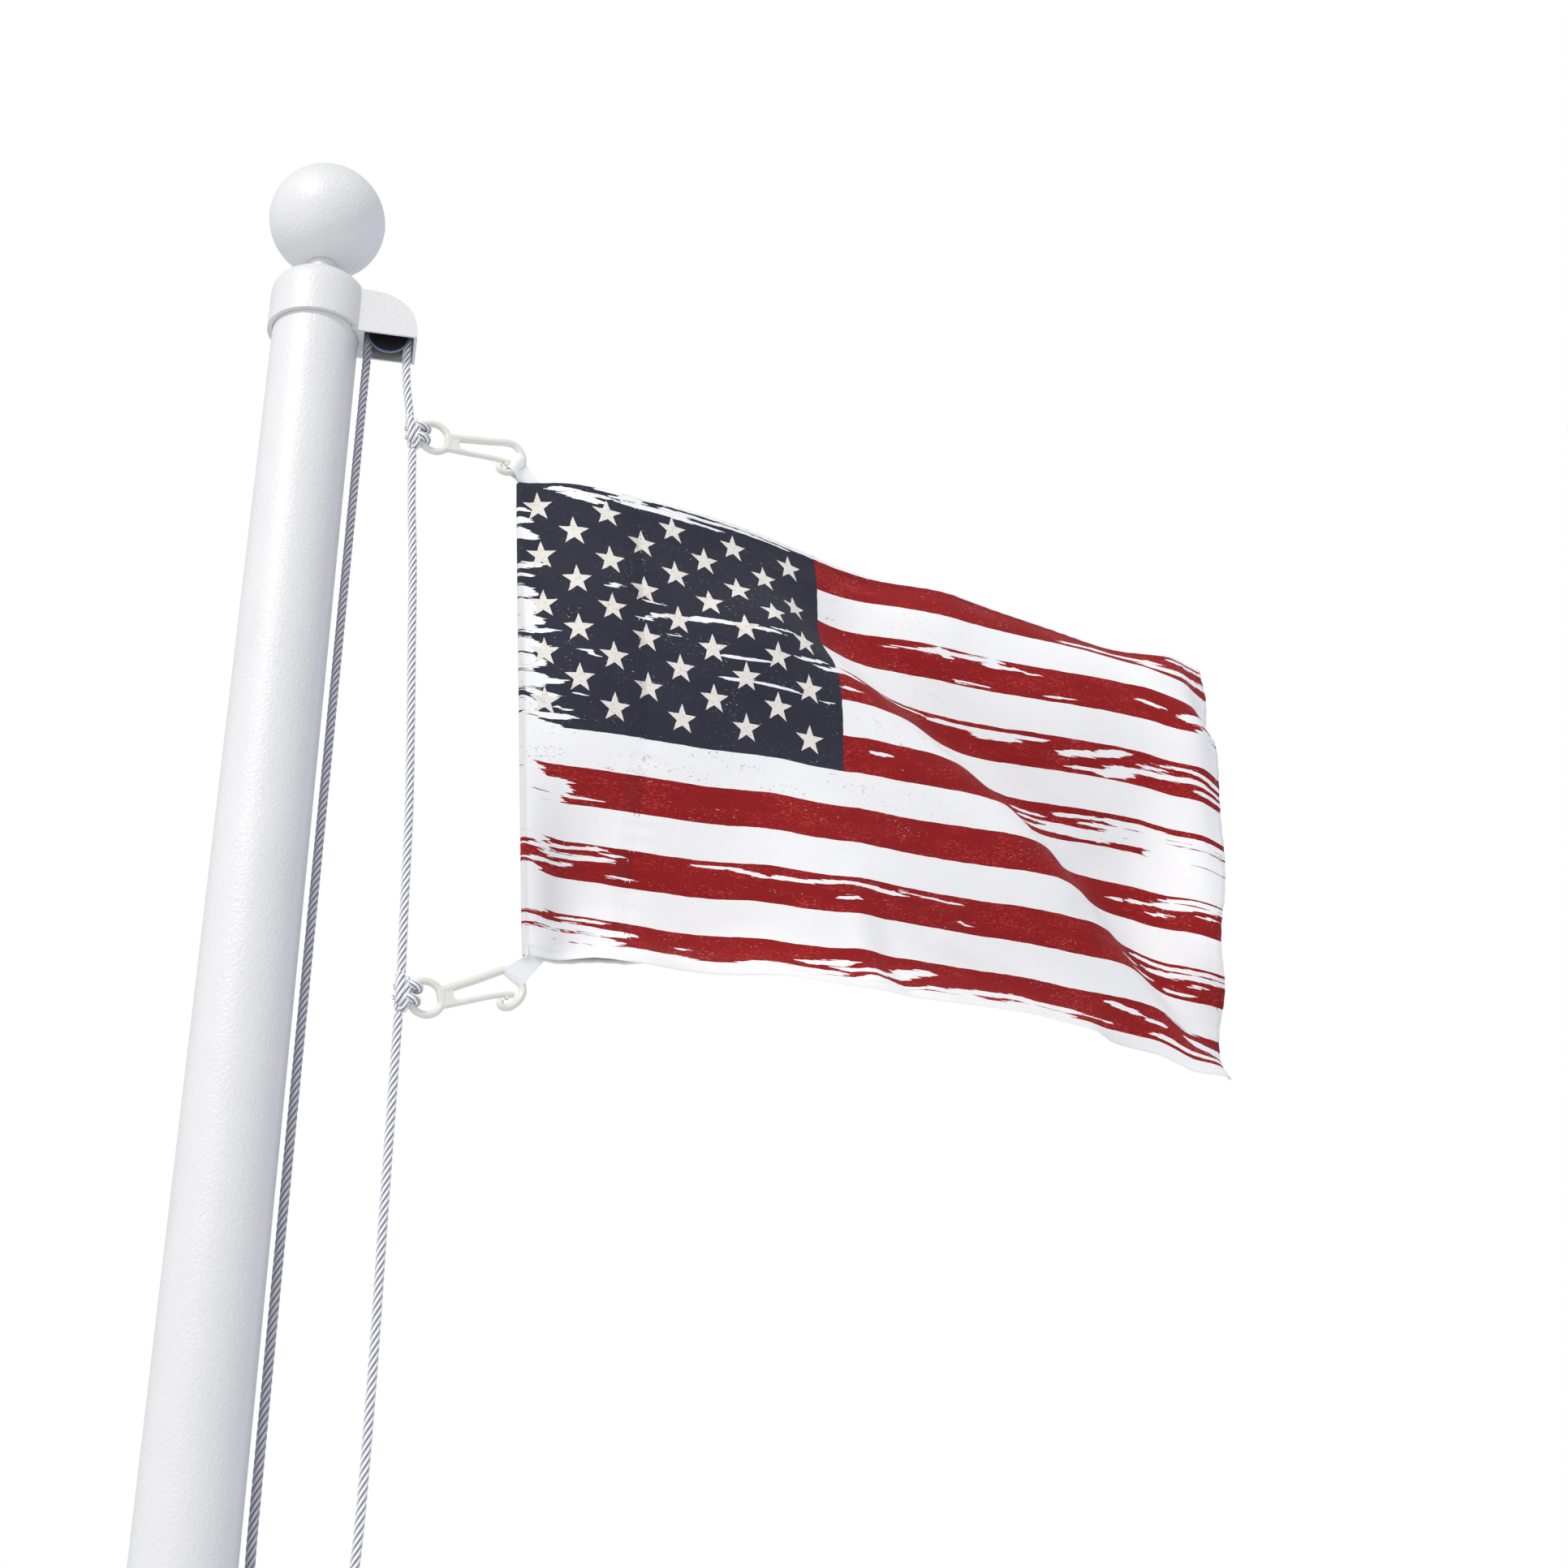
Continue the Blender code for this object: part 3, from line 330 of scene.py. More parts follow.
sheave_turn = [(SHEAVE_CENTRE[0] + SHEAVE_PITCH_RADIUS * math.cos(turn), 0,
                SHEAVE_CENTRE[2] + SHEAVE_PITCH_RADIUS * math.sin(turn))
               for turn in np.linspace(math.pi, 0, 9)]
sheave_turn = tuple((x * 1000, y, z * 1000) for x, y, z in sheave_turn)
hoist_line = along_route(HOIST_ROUTE + sheave_turn + DROP_ROUTE, RING_SPACING)
between_line = along_route(BETWEEN_ROUTE, RING_SPACING)
return_line = along_route(RETURN_ROUTE, RING_SPACING)
hoist_rope = add_rope("rope_hoist", [hoist_line])
between_rope = add_rope("rope_between_clips", [between_line])
return_rope = add_rope("rope_return", [return_line])
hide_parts("halyard_hoist")
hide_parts("halyard_between")
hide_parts("halyard_return")


# Turns on the cleat
# Low on the pole the same rope is made fast: it comes down beside the cleat's stem, goes round it
# one and a half times and rises again as the return. It is one length, like the rest of the line.
TURNS_RADIUS = 12.2
CLEAT_HEIGHT = 55.0
TURN_X = (38.2, 44.6)

turn_points = [(TURN_X[0], TURNS_RADIUS, 71.9), (TURN_X[0], TURNS_RADIUS, 63)]
for share in np.linspace(0, 1.5, 25):
    drift = min(max((share - 0.5) / 0.5, 0), 1)
    drift = drift * drift * (3 - 2 * drift)
    angle = math.tau * share
    turn_points.append((TURN_X[0] + (TURN_X[1] - TURN_X[0]) * drift, TURNS_RADIUS * math.cos(angle),
                        CLEAT_HEIGHT - TURNS_RADIUS * math.sin(angle)))
turn_points += [(TURN_X[1], -TURNS_RADIUS, 63), (TURN_X[1], -TURNS_RADIUS, 72.0)]
cleat_turns = add_rope("rope_on_cleat", [along_route(turn_points, RING_SPACING)])
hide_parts("halyard_turns")


# Hitches on the clips
# Each clip hangs in a hitch of the line itself: two bights pass through the clip's ring and a third
# part of the rope lies across them in front, pulled down hard, so that the clip can't slide.
PLANE_ANGLE = math.radians(15.8)
ClipPlace = namedtuple("ClipPlace", "along height clip_tilt knot_tilt")
CLIPS = {"upper": ClipPlace(25.7, 910.8, -1.1, 0.0), "lower": ClipPlace(48.8, 497.2, 14.0, -8.0)}
RING_CENTRE_RADIUS = 11.2
BIGHT_HEIGHTS = (4.2, -4.6)
BIGHT_REACH = 5.3
HITCH_CORE = ((-19.0, 0.3, 10.6), (-18.2, 0.9, 5), (-16.9, 0.9, -4), (-15.2, 0.3, -13.9))
HITCH_FRONT = ((-19.4, 1.6, 9.4), (-19.3, -1.4, 9.2), (-19.1, -3.4, 5.2), (-18.1, -4.2, -0.6),
               (-17.0, -3.6, -6.2), (-16.2, -1.0, -9.6))
HITCH_SIDE = ((-15.6, 2.6, 7.2), (-15.2, -0.9, 7.6), (-15.0, -3.3, 3.6), (-14.4, -4.2, -2.0),
              (-13.5, -3.5, -7.6), (-13.1, -0.8, -11.2), (-13.6, 2.0, -12.2))
HITCH_WRAPS = ((-18.0, 2.0), (-17.0, -5.2))
HITCH_RADII = (0.0030, 0.0028, 0.0029, 0.0022, 0.0023, 0.0034, 0.0032)
HITCH_SPACING = 0.0013
WRAP_RADIUS = 2.2


def in_plane(along, height, tilt):
    """Places a thing drawn flat in the flag's upright plane, millimetres along it and up, then tilted."""
    spot = Vector((64 + math.cos(PLANE_ANGLE) * along, math.sin(PLANE_ANGLE) * along, height)) / 1000
    return Matrix.Translation(spot) @ Euler((0, -math.radians(tilt), PLANE_ANGLE)).to_matrix().to_4x4()


def placed(line, matrix):
    """The same points, moved and turned by the matrix."""
    return np.array([matrix @ Vector(p) for p in line])


def add_hitch(name):
    """The hitch on one clip: its core, two bights through the ring, its wraps and its front."""
    clip = CLIPS[name]
    matrix = in_plane(clip.along, clip.height, clip.knot_tilt)
    routes = [HITCH_CORE]
    for height in BIGHT_HEIGHTS:
        ring_x = -math.sqrt(RING_CENTRE_RADIUS ** 2 - height ** 2)
        bight = [(-18.0, -1.2, height + 0.5), (-15.0, -3.2, height + 0.2)]
        for turn in np.linspace(math.pi / 2 + 0.25, -math.pi / 2 - 0.25, 9):
            bight.append((ring_x + BIGHT_REACH * math.cos(turn), -BIGHT_REACH * math.sin(turn), height))
        bight += [(-15.4, 4.2, height + 0.2), (-18.0, 2.4, height + 0.5)]
        routes.append(bight)
    for x, height in HITCH_WRAPS:
        turns = np.linspace(math.pi * 0.72, math.pi * 1.42, 7)
        routes.append([(x + WRAP_RADIUS * math.cos(turn), 0.4 - WRAP_RADIUS * math.sin(turn),
                        height - 1.1 * math.sin(turn)) for turn in turns])
    lines = [placed(along_route(route, HITCH_SPACING), matrix)
             for route in [*routes, HITCH_FRONT, HITCH_SIDE]]
    hitch = add_rope("hitch_" + name, lines, HITCH_RADII)
    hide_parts("knot_" + name)
    return hitch


upper_hitch = add_hitch("upper")
lower_hitch = add_hitch("lower")


# Pole and cap
# The pole is a drawn aluminium tube, and the cap with its neck and pulley housing is one casting
# pushed on to it. Both are sprayed with white gloss paint, which dried with an orange-peel skin.
GENTLE_EDGE = 32


def paint_finish(name, colour, shade, roughness, peel_scale, peel_depth):
    """Sprayed gloss paint with an orange-peel skin and a breath of grime."""
    made = new_material(name, colour, roughness, coat=0.12)
    made.node_tree.nodes["Principled BSDF"].inputs["Coat Roughness"].default_value = 0.18
    tree = made.node_tree
    place = place_of(tree)
    paint_with(made, blend_colour(tree, step_up(tree, cloudy(tree, place, 22, 4), 0.35, 0.8), colour, shade))
    peel = cloudy(tree, place, peel_scale, 2)
    grain = cloudy(tree, place, peel_scale * 4, 2)
    raise_surface(made, calc(tree, "MULTIPLY_ADD", grain, 0.25, peel), peel_depth)
    return made


pole_paint = paint_finish("pole_gloss_white", (0.71, 0.71, 0.71), (0.68, 0.68, 0.685), 0.36, 480, 0.00045)
cap_paint = paint_finish("cap_gloss_white", (0.69, 0.69, 0.69), (0.66, 0.66, 0.665), 0.36, 480, 0.00040)


def round_faces():
    """Shades turned faces smooth, and leaves edges sharper than GENTLE_EDGE degrees as they are."""
    group = bpy.data.node_groups.new("round_faces", "GeometryNodeTree")
    group.interface.new_socket("Geometry", in_out="INPUT", socket_type="NodeSocketGeometry")
    group.interface.new_socket("Geometry", in_out="OUTPUT", socket_type="NodeSocketGeometry")
    joined = group.nodes.new("GeometryNodeMergeByDistance")
    joined.inputs["Distance"].default_value = 0.00001
    plain = group.nodes.new("GeometryNodeRemoveAttribute")
    plain.inputs["Name"].default_value = "custom_normal"
    faces = group.nodes.new("GeometryNodeSetShadeSmooth")
    edges = group.nodes.new("GeometryNodeSetShadeSmooth")
    edges.domain = "EDGE"
    bend = group.nodes.new("GeometryNodeInputMeshEdgeAngle")
    gentle = group.nodes.new("FunctionNodeCompare")
    gentle.operation = "LESS_THAN"
    gentle.inputs["B"].default_value = math.radians(GENTLE_EDGE)
    group.links.new(bend.outputs["Unsigned Angle"], gentle.inputs["A"])
    group.links.new(gentle.outputs[0], edges.inputs["Shade Smooth"])
    steps = [group.nodes.new("NodeGroupInput"), joined, plain, faces, edges,
             group.nodes.new("NodeGroupOutput")]
    for before, after in zip(steps, steps[1:]):
        group.links.new(before.outputs[0], after.inputs[0])
    return group


rounding = round_faces()


def finish_node(node, material):
    """Gives a body of the part its material, and shades its round faces smooth."""
    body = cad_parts[node]
    body.data.materials.clear()
    body.data.materials.append(material)
    body.modifiers.new("rounding", "NODES").node_group = rounding


finish_node("pole", pole_paint)
finish_node("cap_casting", cap_paint)


# Ball
# The ball on top is blow-moulded and hollow, sprayed like the pole, and pressed on the cap's neck,
# where a narrow collar is moulded round the hole. Its mould left a low seam round the middle.
BALL_RADIUS = 0.0414
BALL_CENTRE = 1.0799
COLLAR_RADIUS = 0.0138
SEAT_HEIGHT = 1.0402

ball_profile = [(0.0, SEAT_HEIGHT), (COLLAR_RADIUS - 0.0016, SEAT_HEIGHT),
                (COLLAR_RADIUS, SEAT_HEIGHT + 0.0008)]
seat_angle = math.asin(COLLAR_RADIUS / BALL_RADIUS)
for turn in np.linspace(seat_angle, math.pi - 0.02, 60):
    seam = 0.00018 * math.exp(-((turn - math.pi / 2) / 0.018) ** 2)
    reach = BALL_RADIUS + seam
    ball_profile.append((reach * math.sin(turn), BALL_CENTRE - reach * math.cos(turn)))
ball_profile.append((0.0, BALL_CENTRE + BALL_RADIUS))


def lathe(profile, steps):
    """Points and faces of a turned body whose profile starts and ends on its axis."""
    verts, faces, rings = [], [], []
    for radius, height in profile:
        count = 1 if radius == 0 else steps
        rings.append(list(range(len(verts), len(verts) + count)))
        for step in range(count):
            angle = math.tau * step / steps
            verts.append((radius * math.cos(angle), radius * math.sin(angle), height))
    for low, high in zip(rings, rings[1:]):
        for step in range(steps):
            after = (step + 1) % steps
            corners = [low[step % len(low)], low[after % len(low)],
                       high[after % len(high)], high[step % len(high)]]
            faces.append(tuple(dict.fromkeys(corners)))
    return verts, faces


ball = add_piece("ball_finial", *lathe(ball_profile, 96), paint_finish(
    "ball_gloss_white", (0.71, 0.71, 0.71), (0.68, 0.68, 0.685), 0.3, 420, 0.0005), 40)
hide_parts("ball")


# Sheave and pin
# The sheave is a dark moulded wheel on a steel pin. The rope has polished its rims to a blue grey
# and stained the bottom of the groove brown.


def sheave_finish():
    """Black faces, a groove stained towards its bottom, and rims rubbed blue grey."""
    made = new_material("worn_sheave", (0.02, 0.02, 0.024), 0.6)
    tree = made.node_tree
    place = place_of(tree)
    split = tree.nodes.new("ShaderNodeSeparateXYZ")
    tree.links.new(place, split.inputs[0])
    from_axis = calc(tree, "SQRT", calc(tree, "ADD",
                     calc(tree, "POWER", calc(tree, "SUBTRACT", split.outputs[0], SHEAVE_CENTRE[0]), 2.0),
                     calc(tree, "POWER", calc(tree, "SUBTRACT", split.outputs[2], SHEAVE_CENTRE[2]), 2.0)))
    in_groove = calc(tree, "LESS_THAN", calc(tree, "ABSOLUTE", split.outputs[1]), 0.0036)
    face = blend_colour(tree, step_up(tree, cloudy(tree, place, 900, 3), 0.55, 0.7), (0.003, 0.003, 0.004),
                        (0.012, 0.012, 0.014))
    groove = blend_colour(tree, step_up(tree, from_axis, 0.0108, 0.0138),
                          (0.12, 0.10, 0.035), (0.20, 0.20, 0.19))
    sides = blend_colour(tree, step_up(tree, from_axis, 0.0136, 0.0143), face, (0.14, 0.18, 0.32))
    paint_with(made, blend_colour(tree, in_groove, sides, groove))
    raise_surface(made, cloudy(tree, place, 1200, 3), 0.0004)
    return made


def steel_finish():
    """Dark turned steel with fine lines along the pin."""
    made = new_material("turned_steel", (0.06, 0.06, 0.065), 0.5, metallic=1.0)
    tree = made.node_tree
    stretch = tree.nodes.new("ShaderNodeMapping")
    stretch.inputs["Scale"].default_value = (1, 0.02, 1)
    tree.links.new(place_of(tree), stretch.inputs["Vector"])
    raise_surface(made, cloudy(tree, stretch.outputs[0], 2500, 2), 0.0001)
    return made


finish_node("sheave", sheave_finish())
finish_node("sheave_pin", steel_finish())


# Cleat
# A small cast cleat is screwed to the pole near its foot, painted like it and rubbed grey in
# cloudy patches.
finish_node("cleat", paint_finish("cleat_white", (0.80, 0.81, 0.83), (0.62, 0.63, 0.66), 0.38, 500, 0.0006))


# Snap clips
# Each clip is moulded in one piece of cream nylon: a round eye, a thick arm that curls into a hook,
# and a thin springy arm that closes on the hook's tip. A web fills the fork between eye and arms.
CLIP_VOXEL = 0.00045
CLIP_SWELL = 0.0003
HOOK_ARM = (
    (9.5, 3.4, 2.2), (15, 4.6, 2.6), (21, 5.9, 2.6), (37, 9.4, 2.5), (50, 12.6, 2.4), (56, 13.8, 2.4),
    (61, 13.0, 2.3), (65, 9.5, 2.3), (67.2, 4.5, 2.3), (67.3, -1.0, 2.3), (64.8, -5.5, 2.3),
    (60.0, -9.2, 2.3), (54.8, -11.1, 2.2), (50.8, -10.2, 2.2), (49.8, -7.6, 2.1), (51.6, -5.8, 1.8),
)
LATCH_ARM = (
    (9.0, -5.4, 2.0), (13, -5.7, 2.1), (25, -4.7, 1.8), (37, -3.4, 1.7), (47, -2.5, 1.7),
    (53.0, -2.2, 1.7), (58.0, -2.6, 1.8), (60.6, -3.6, 1.5),
)
LATCH_NUB = ((55.6, -2.6, 1.5), (55.4, -4.4, 1.4), (54.6, -5.6, 1.1))
EYE_SECTION = 2.2
WEB_OUTLINE = ((8.6, 5.6), (13, 6.4), (24.0, 7.0), (20.4, 4.6), (18.4, 1.6), (18.2, -1.4),
               (20.0, -3.8), (23.0, -5.0), (12, -7.4), (8.4, -6.8))
WEB_HALF_THICKNESS = 1.9


def tube_in_plane(table, sides):
    """Points and faces of a round bar that bends in its own plane."""
    line = np.array([(x, 0.0, z) for x, z, radius in table])
    steps = np.linspace(0, len(table) - 1, (len(table) - 1) * 5 + 1)
    ends = np.vstack([2 * line[0] - line[1], line, 2 * line[-1] - line[-2]])
    radii = np.interp(steps, range(len(table)), [row[2] for row in table])
    points = []
    for at in steps:
        k = min(int(at), len(table) - 2)
        t = at - k
        points.append(curve_point(*ends[k:k + 4], t))
    points = np.array(points)
    ahead = np.gradient(points, axis=0)
    ahead /= np.linalg.norm(ahead, axis=1, keepdims=True)
    rise = np.cross(ahead, (0, 1, 0))
    verts, faces = [], []
    for centre, up, radius in zip(points, rise, radii):
        for angle in np.arange(sides) * math.tau / sides:
            verts.append(centre + (np.array((0, 1, 0)) * math.cos(angle) + up * math.sin(angle)) * radius)
    for k in range(len(points) - 1):
        for j in range(sides):
            after = (j + 1) % sides
            faces.append((k * sides + j, k * sides + after, (k + 1) * sides + after, (k + 1) * sides + j))
    faces.append(tuple(range(sides)))
    faces.append(tuple(len(verts) - 1 - j for j in range(sides)))
    return verts, faces


def clip_forms():
    """The eye, both arms and the web, before they are melted together."""
    forms = [tube_in_plane(HOOK_ARM, 16), tube_in_plane(LATCH_ARM, 14), tube_in_plane(LATCH_NUB, 12)]
    eye_verts, eye_faces = [], []
    around, section = 64, 14
    for k in range(around):
        turn = math.tau * k / around
        for angle in np.arange(section) * math.tau / section:
            reach = RING_CENTRE_RADIUS + EYE_SECTION * math.cos(angle)
            eye_verts.append((reach * math.cos(turn), EYE_SECTION * math.sin(angle), reach * math.sin(turn)))
    for k in range(around):
        for j in range(section):
            here, there, after = k * section, (k + 1) % around * section, (j + 1) % section
            eye_faces.append((here + j, here + after, there + after, there + j))
    forms.append((eye_verts, eye_faces))
    count = len(WEB_OUTLINE)
    web_verts = [(x, side * WEB_HALF_THICKNESS, z) for side in (-1, 1) for x, z in WEB_OUTLINE]
    web_faces = [tuple(range(count)), tuple(range(2 * count - 1, count - 1, -1))]
    web_faces += [(k, k + count, (k + 1) % count + count, (k + 1) % count) for k in range(count)]
    forms.append((web_verts, web_faces))
    return forms


def face_outwards(mesh):
    """Turns all faces of a closed mesh outwards."""
    body = bmesh.new()
    body.from_mesh(mesh)
    bmesh.ops.recalc_face_normals(body, faces=body.faces)
    body.to_mesh(mesh)
    body.free()


def melted_clip():
    """One moulded body from the forms: remeshed together, then smoothed like a polished mould."""
    mesh = bpy.data.meshes.new("clip_forms")
    verts, faces = [], []
    for form_verts, form_faces in clip_forms():
        faces += [tuple(len(verts) + v for v in face) for face in form_faces]
        verts += [tuple(np.array(v, float) / 1000) for v in form_verts]
    mesh.from_pydata(verts, [], faces)
    face_outwards(mesh)
    holder = bpy.data.objects.new("clip_forms", mesh)
    bpy.context.scene.collection.objects.link(holder)
    melt = holder.modifiers.new("melt", "REMESH")
    melt.mode = "VOXEL"
    melt.voxel_size = CLIP_VOXEL
    polish = holder.modifiers.new("polish", "SMOOTH")
    polish.factor = 0.5
    polish.iterations = 5
    swell = holder.modifiers.new("swell", "DISPLACE")
    swell.strength = CLIP_SWELL
    swell.mid_level = 0.0
    made = bpy.data.meshes.new_from_object(holder.evaluated_get(bpy.context.evaluated_depsgraph_get()))
    bpy.data.objects.remove(holder, do_unlink=True)
    return made


def nylon_finish():
    """Cream nylon with a soft skin gloss and faint flow marks."""
    made = new_material("cream_nylon", (0.80, 0.80, 0.74), 0.36)
    shader = made.node_tree.nodes["Principled BSDF"]
    shader.inputs["Subsurface Weight"].default_value = 0.12
    shader.inputs["Subsurface Radius"].default_value = (0.002, 0.0018, 0.0012)
    tree = made.node_tree
    place = place_of(tree)
    paint_with(made, blend_colour(tree, cloudy(tree, place, 70, 3), (0.71, 0.705, 0.64), (0.78, 0.775, 0.71)))
    raise_surface(made, cloudy(tree, place, 700, 2), 0.0002)
    return made


clip_mesh = melted_clip()
clip_mesh.materials.append(nylon_finish())
clip_mesh.shade_smooth()
for name, clip in CLIPS.items():
    own_mesh = clip_mesh.copy()
    own_mesh.transform(in_plane(clip.along, clip.height, clip.clip_tilt))
    snap_clip = bpy.data.objects.new("snap_clip_" + name, own_mesh)
    bpy.context.scene.collection.objects.link(snap_clip)
    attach(snap_clip, "root")
    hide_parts("clip_" + name)


# Flag cloth
# The flag is one piece of thin woven polyester, 600 by 355 mm finished, hemmed on three sides and
# folded back at the hoist as a wide sleeve. It hangs from its two corners and blows out in long folds.
FLY = 600.0
HOIST = 355.0
FLAG_TOP = 892.0
HOIST_EDGE = (90.3, 113.6)
FLY_DROOP = 20.0
HELD_FLAT = 35.0
CREST_BLEND = 12.0
SLEEVE = 90.0
SEAM_TAPER = 14.0
SLEEVE_ROLL = 2.35
CLOTH = 0.4
LAYER = 0.6
HEM_TOP_BOTTOM = 8.0
HEM_FLY = 7.0
FLY_DRAWN_IN = 3.6
TOP_LIFT = 3.4
FOOT_LIFT = 3.2
PUCKER = 0.3
Fold = namedtuple("Fold", "along_1 down_1 along_2 down_2 depth_1 depth_2 below above")
FOLDS = {
    "hoist swell": Fold(128, 0, 80, 130, 28, 30, 150, 150),
    "long crest": Fold(195, 95, 550, 285, 22, 27, 55, 40),
    "long trough": Fold(270, 65, 617, 335, -9, -45, 37, 43),
    "top shoulder": Fold(360, 30, 520, 55, 28, 43, 88, 52),
    "hem curl": Fold(100, 357, 446, 374, 26, 26, 73, 30),
    "lower hollow": Fold(62, 302, 142, 327, -37, -45, 107, 150),
    "fly lip": Fold(572, -17, 603, 344, 30, 29, 41, 120),
    "low swell": Fold(235, 281, 377, 230, 43, 19, 119, 136),
}
CREASES = {
    "sag below the canton": Fold(252, 268, 262, 340, 1.5, 3.5, 9, 12),
    "its second line": Fold(276, 285, 292, 345, -1.2, -2.5, 9, 10),
    "pull from the upper tab": Fold(10, 6, 120, 60, 1.6, 0.4, 7, 12),
    "pull from the lower tab": Fold(8, 348, 110, 300, 1.4, 0.3, 12, 7),
    "soft line by the long crest": Fold(300, 180, 430, 250, 0.4, 1.8, 12, 9),
    "soft line at the fly": Fold(500, 150, 592, 205, 0.5, 2.2, 12, 12),
    "low soft line": Fold(330, 300, 470, 330, 1.6, 0.6, 10, 12),
}


def fold_depth(along, down, folds):
    """How far the cloth stands out of its plane for these folds, in millimetres."""
    depth = np.zeros_like(along)
    for fold in folds.values():
        run = fold.along_2 - fold.along_1
        fall = fold.down_2 - fold.down_1
        length = math.hypot(run, fall)
        past = along - fold.along_1
        under = down - fold.down_1
        share = np.clip((past * run + under * fall) / length ** 2, 0, 1)
        away = np.hypot(past - share * run, under - share * fall)
        upper = 0.5 + 0.5 * np.tanh((past * fall - under * run) / length / CREST_BLEND)
        width = fold.below * (1 - upper) + fold.above * upper
        ease = share * share * (3 - 2 * share)
        depth += (fold.depth_1 + (fold.depth_2 - fold.depth_1) * ease) * np.exp(-(away / width) ** 2)
    return depth


def cloth_surface(along, down):
    """The cloth's middle surface and its normals at these sorted places. A fold draws the cloth in."""
    fine_along = np.union1d(np.arange(0, FLY + 5, 5.0), along)
    fine_down = np.union1d(np.arange(0, HOIST + 5, 5.0), down)
    a_grid, d_grid = np.meshgrid(fine_along, fine_down, indexing="ij")
    depth = fold_depth(a_grid, d_grid, FOLDS) * (1 - np.exp(-(a_grid / HELD_FLAT) ** 2))
    shut = 0.2
    steps_a = np.diff(a_grid, axis=0)
    steps_d = np.diff(d_grid, axis=1)
    run = np.sqrt(np.maximum(steps_a ** 2 - np.diff(depth, axis=0) ** 2, (shut * steps_a) ** 2))
    fall = np.sqrt(np.maximum(steps_d ** 2 - np.diff(depth, axis=1) ** 2, (shut * steps_d) ** 2))
    across = HOIST_EDGE[0] + (HOIST_EDGE[1] - HOIST_EDGE[0]) * d_grid / HOIST
    across[1:] += np.cumsum(run, axis=0)
    near_fly = np.clip((a_grid - 520) / 80, 0, 1) ** 2
    across -= near_fly * (FLY_DRAWN_IN * np.exp(-((d_grid - 128) / 42) ** 2)
                          + FLY_DRAWN_IN * np.exp(-((HOIST - d_grid) / 24) ** 2))
    height = FLAG_TOP - FLY_DROOP * (a_grid / FLY) ** 2
    height += TOP_LIFT * np.exp(-((a_grid - 27) / 24) ** 2 - (d_grid / 60) ** 2)
    height += FOOT_LIFT * np.exp(-((a_grid - 45) / 32) ** 2 - ((HOIST - d_grid) / 40) ** 2)
    height[:, 1:] -= np.cumsum(fall, axis=1)
    place = np.stack([64 + math.cos(PLANE_ANGLE) * across + math.sin(PLANE_ANGLE) * depth,
                      math.sin(PLANE_ANGLE) * across - math.cos(PLANE_ANGLE) * depth, height], axis=-1)
    along_way = np.stack([np.gradient(place[..., k], fine_along, axis=0) for k in range(3)], axis=-1)
    down_way = np.stack([np.gradient(place[..., k], fine_down, axis=1) for k in range(3)], axis=-1)
    normal = np.cross(down_way, along_way)
    normal /= np.linalg.norm(normal, axis=-1, keepdims=True)
    rows = np.searchsorted(fine_along, along)
    columns = np.searchsorted(fine_down, down)
    place, normal = place[np.ix_(rows, columns)], normal[np.ix_(rows, columns)]
    a_part, d_part = np.meshgrid(along, down, indexing="ij")
    at_hems = np.exp(-np.minimum(d_part, HOIST - d_part) / 7)
    at_seams = np.exp(-np.abs(a_part - SLEEVE) / 6) + np.exp(-(FLY - a_part) / 6)
    pucker = PUCKER * np.sin(a_part / 1.9 + 2.2 * np.sin(a_part / 37)) * at_hems
    pucker += PUCKER * np.sin(d_part / 2.0 + 2.0 * np.sin(d_part / 41)) * at_seams
    relief = fold_depth(a_part, d_part, CREASES) + pucker
    return place + normal * relief[..., None], normal


# Flag print
# The cloth is dyed through with thirteen stripes, a dark canton and stars in staggered rows. The
# print imitates a flag that is worn out: its ink is brushed thin, torn off at the ends and speckled.
PRINT_TOP = 3.0
STRIPE = 26.3
CANTON_WIDTH = 240.0
STAR_START = 17.3
STAR_ALONG = 24.56
STAR_DOWN = 18.4
STAR_RADIUS = 11.2
STAR_WAIST = 0.40


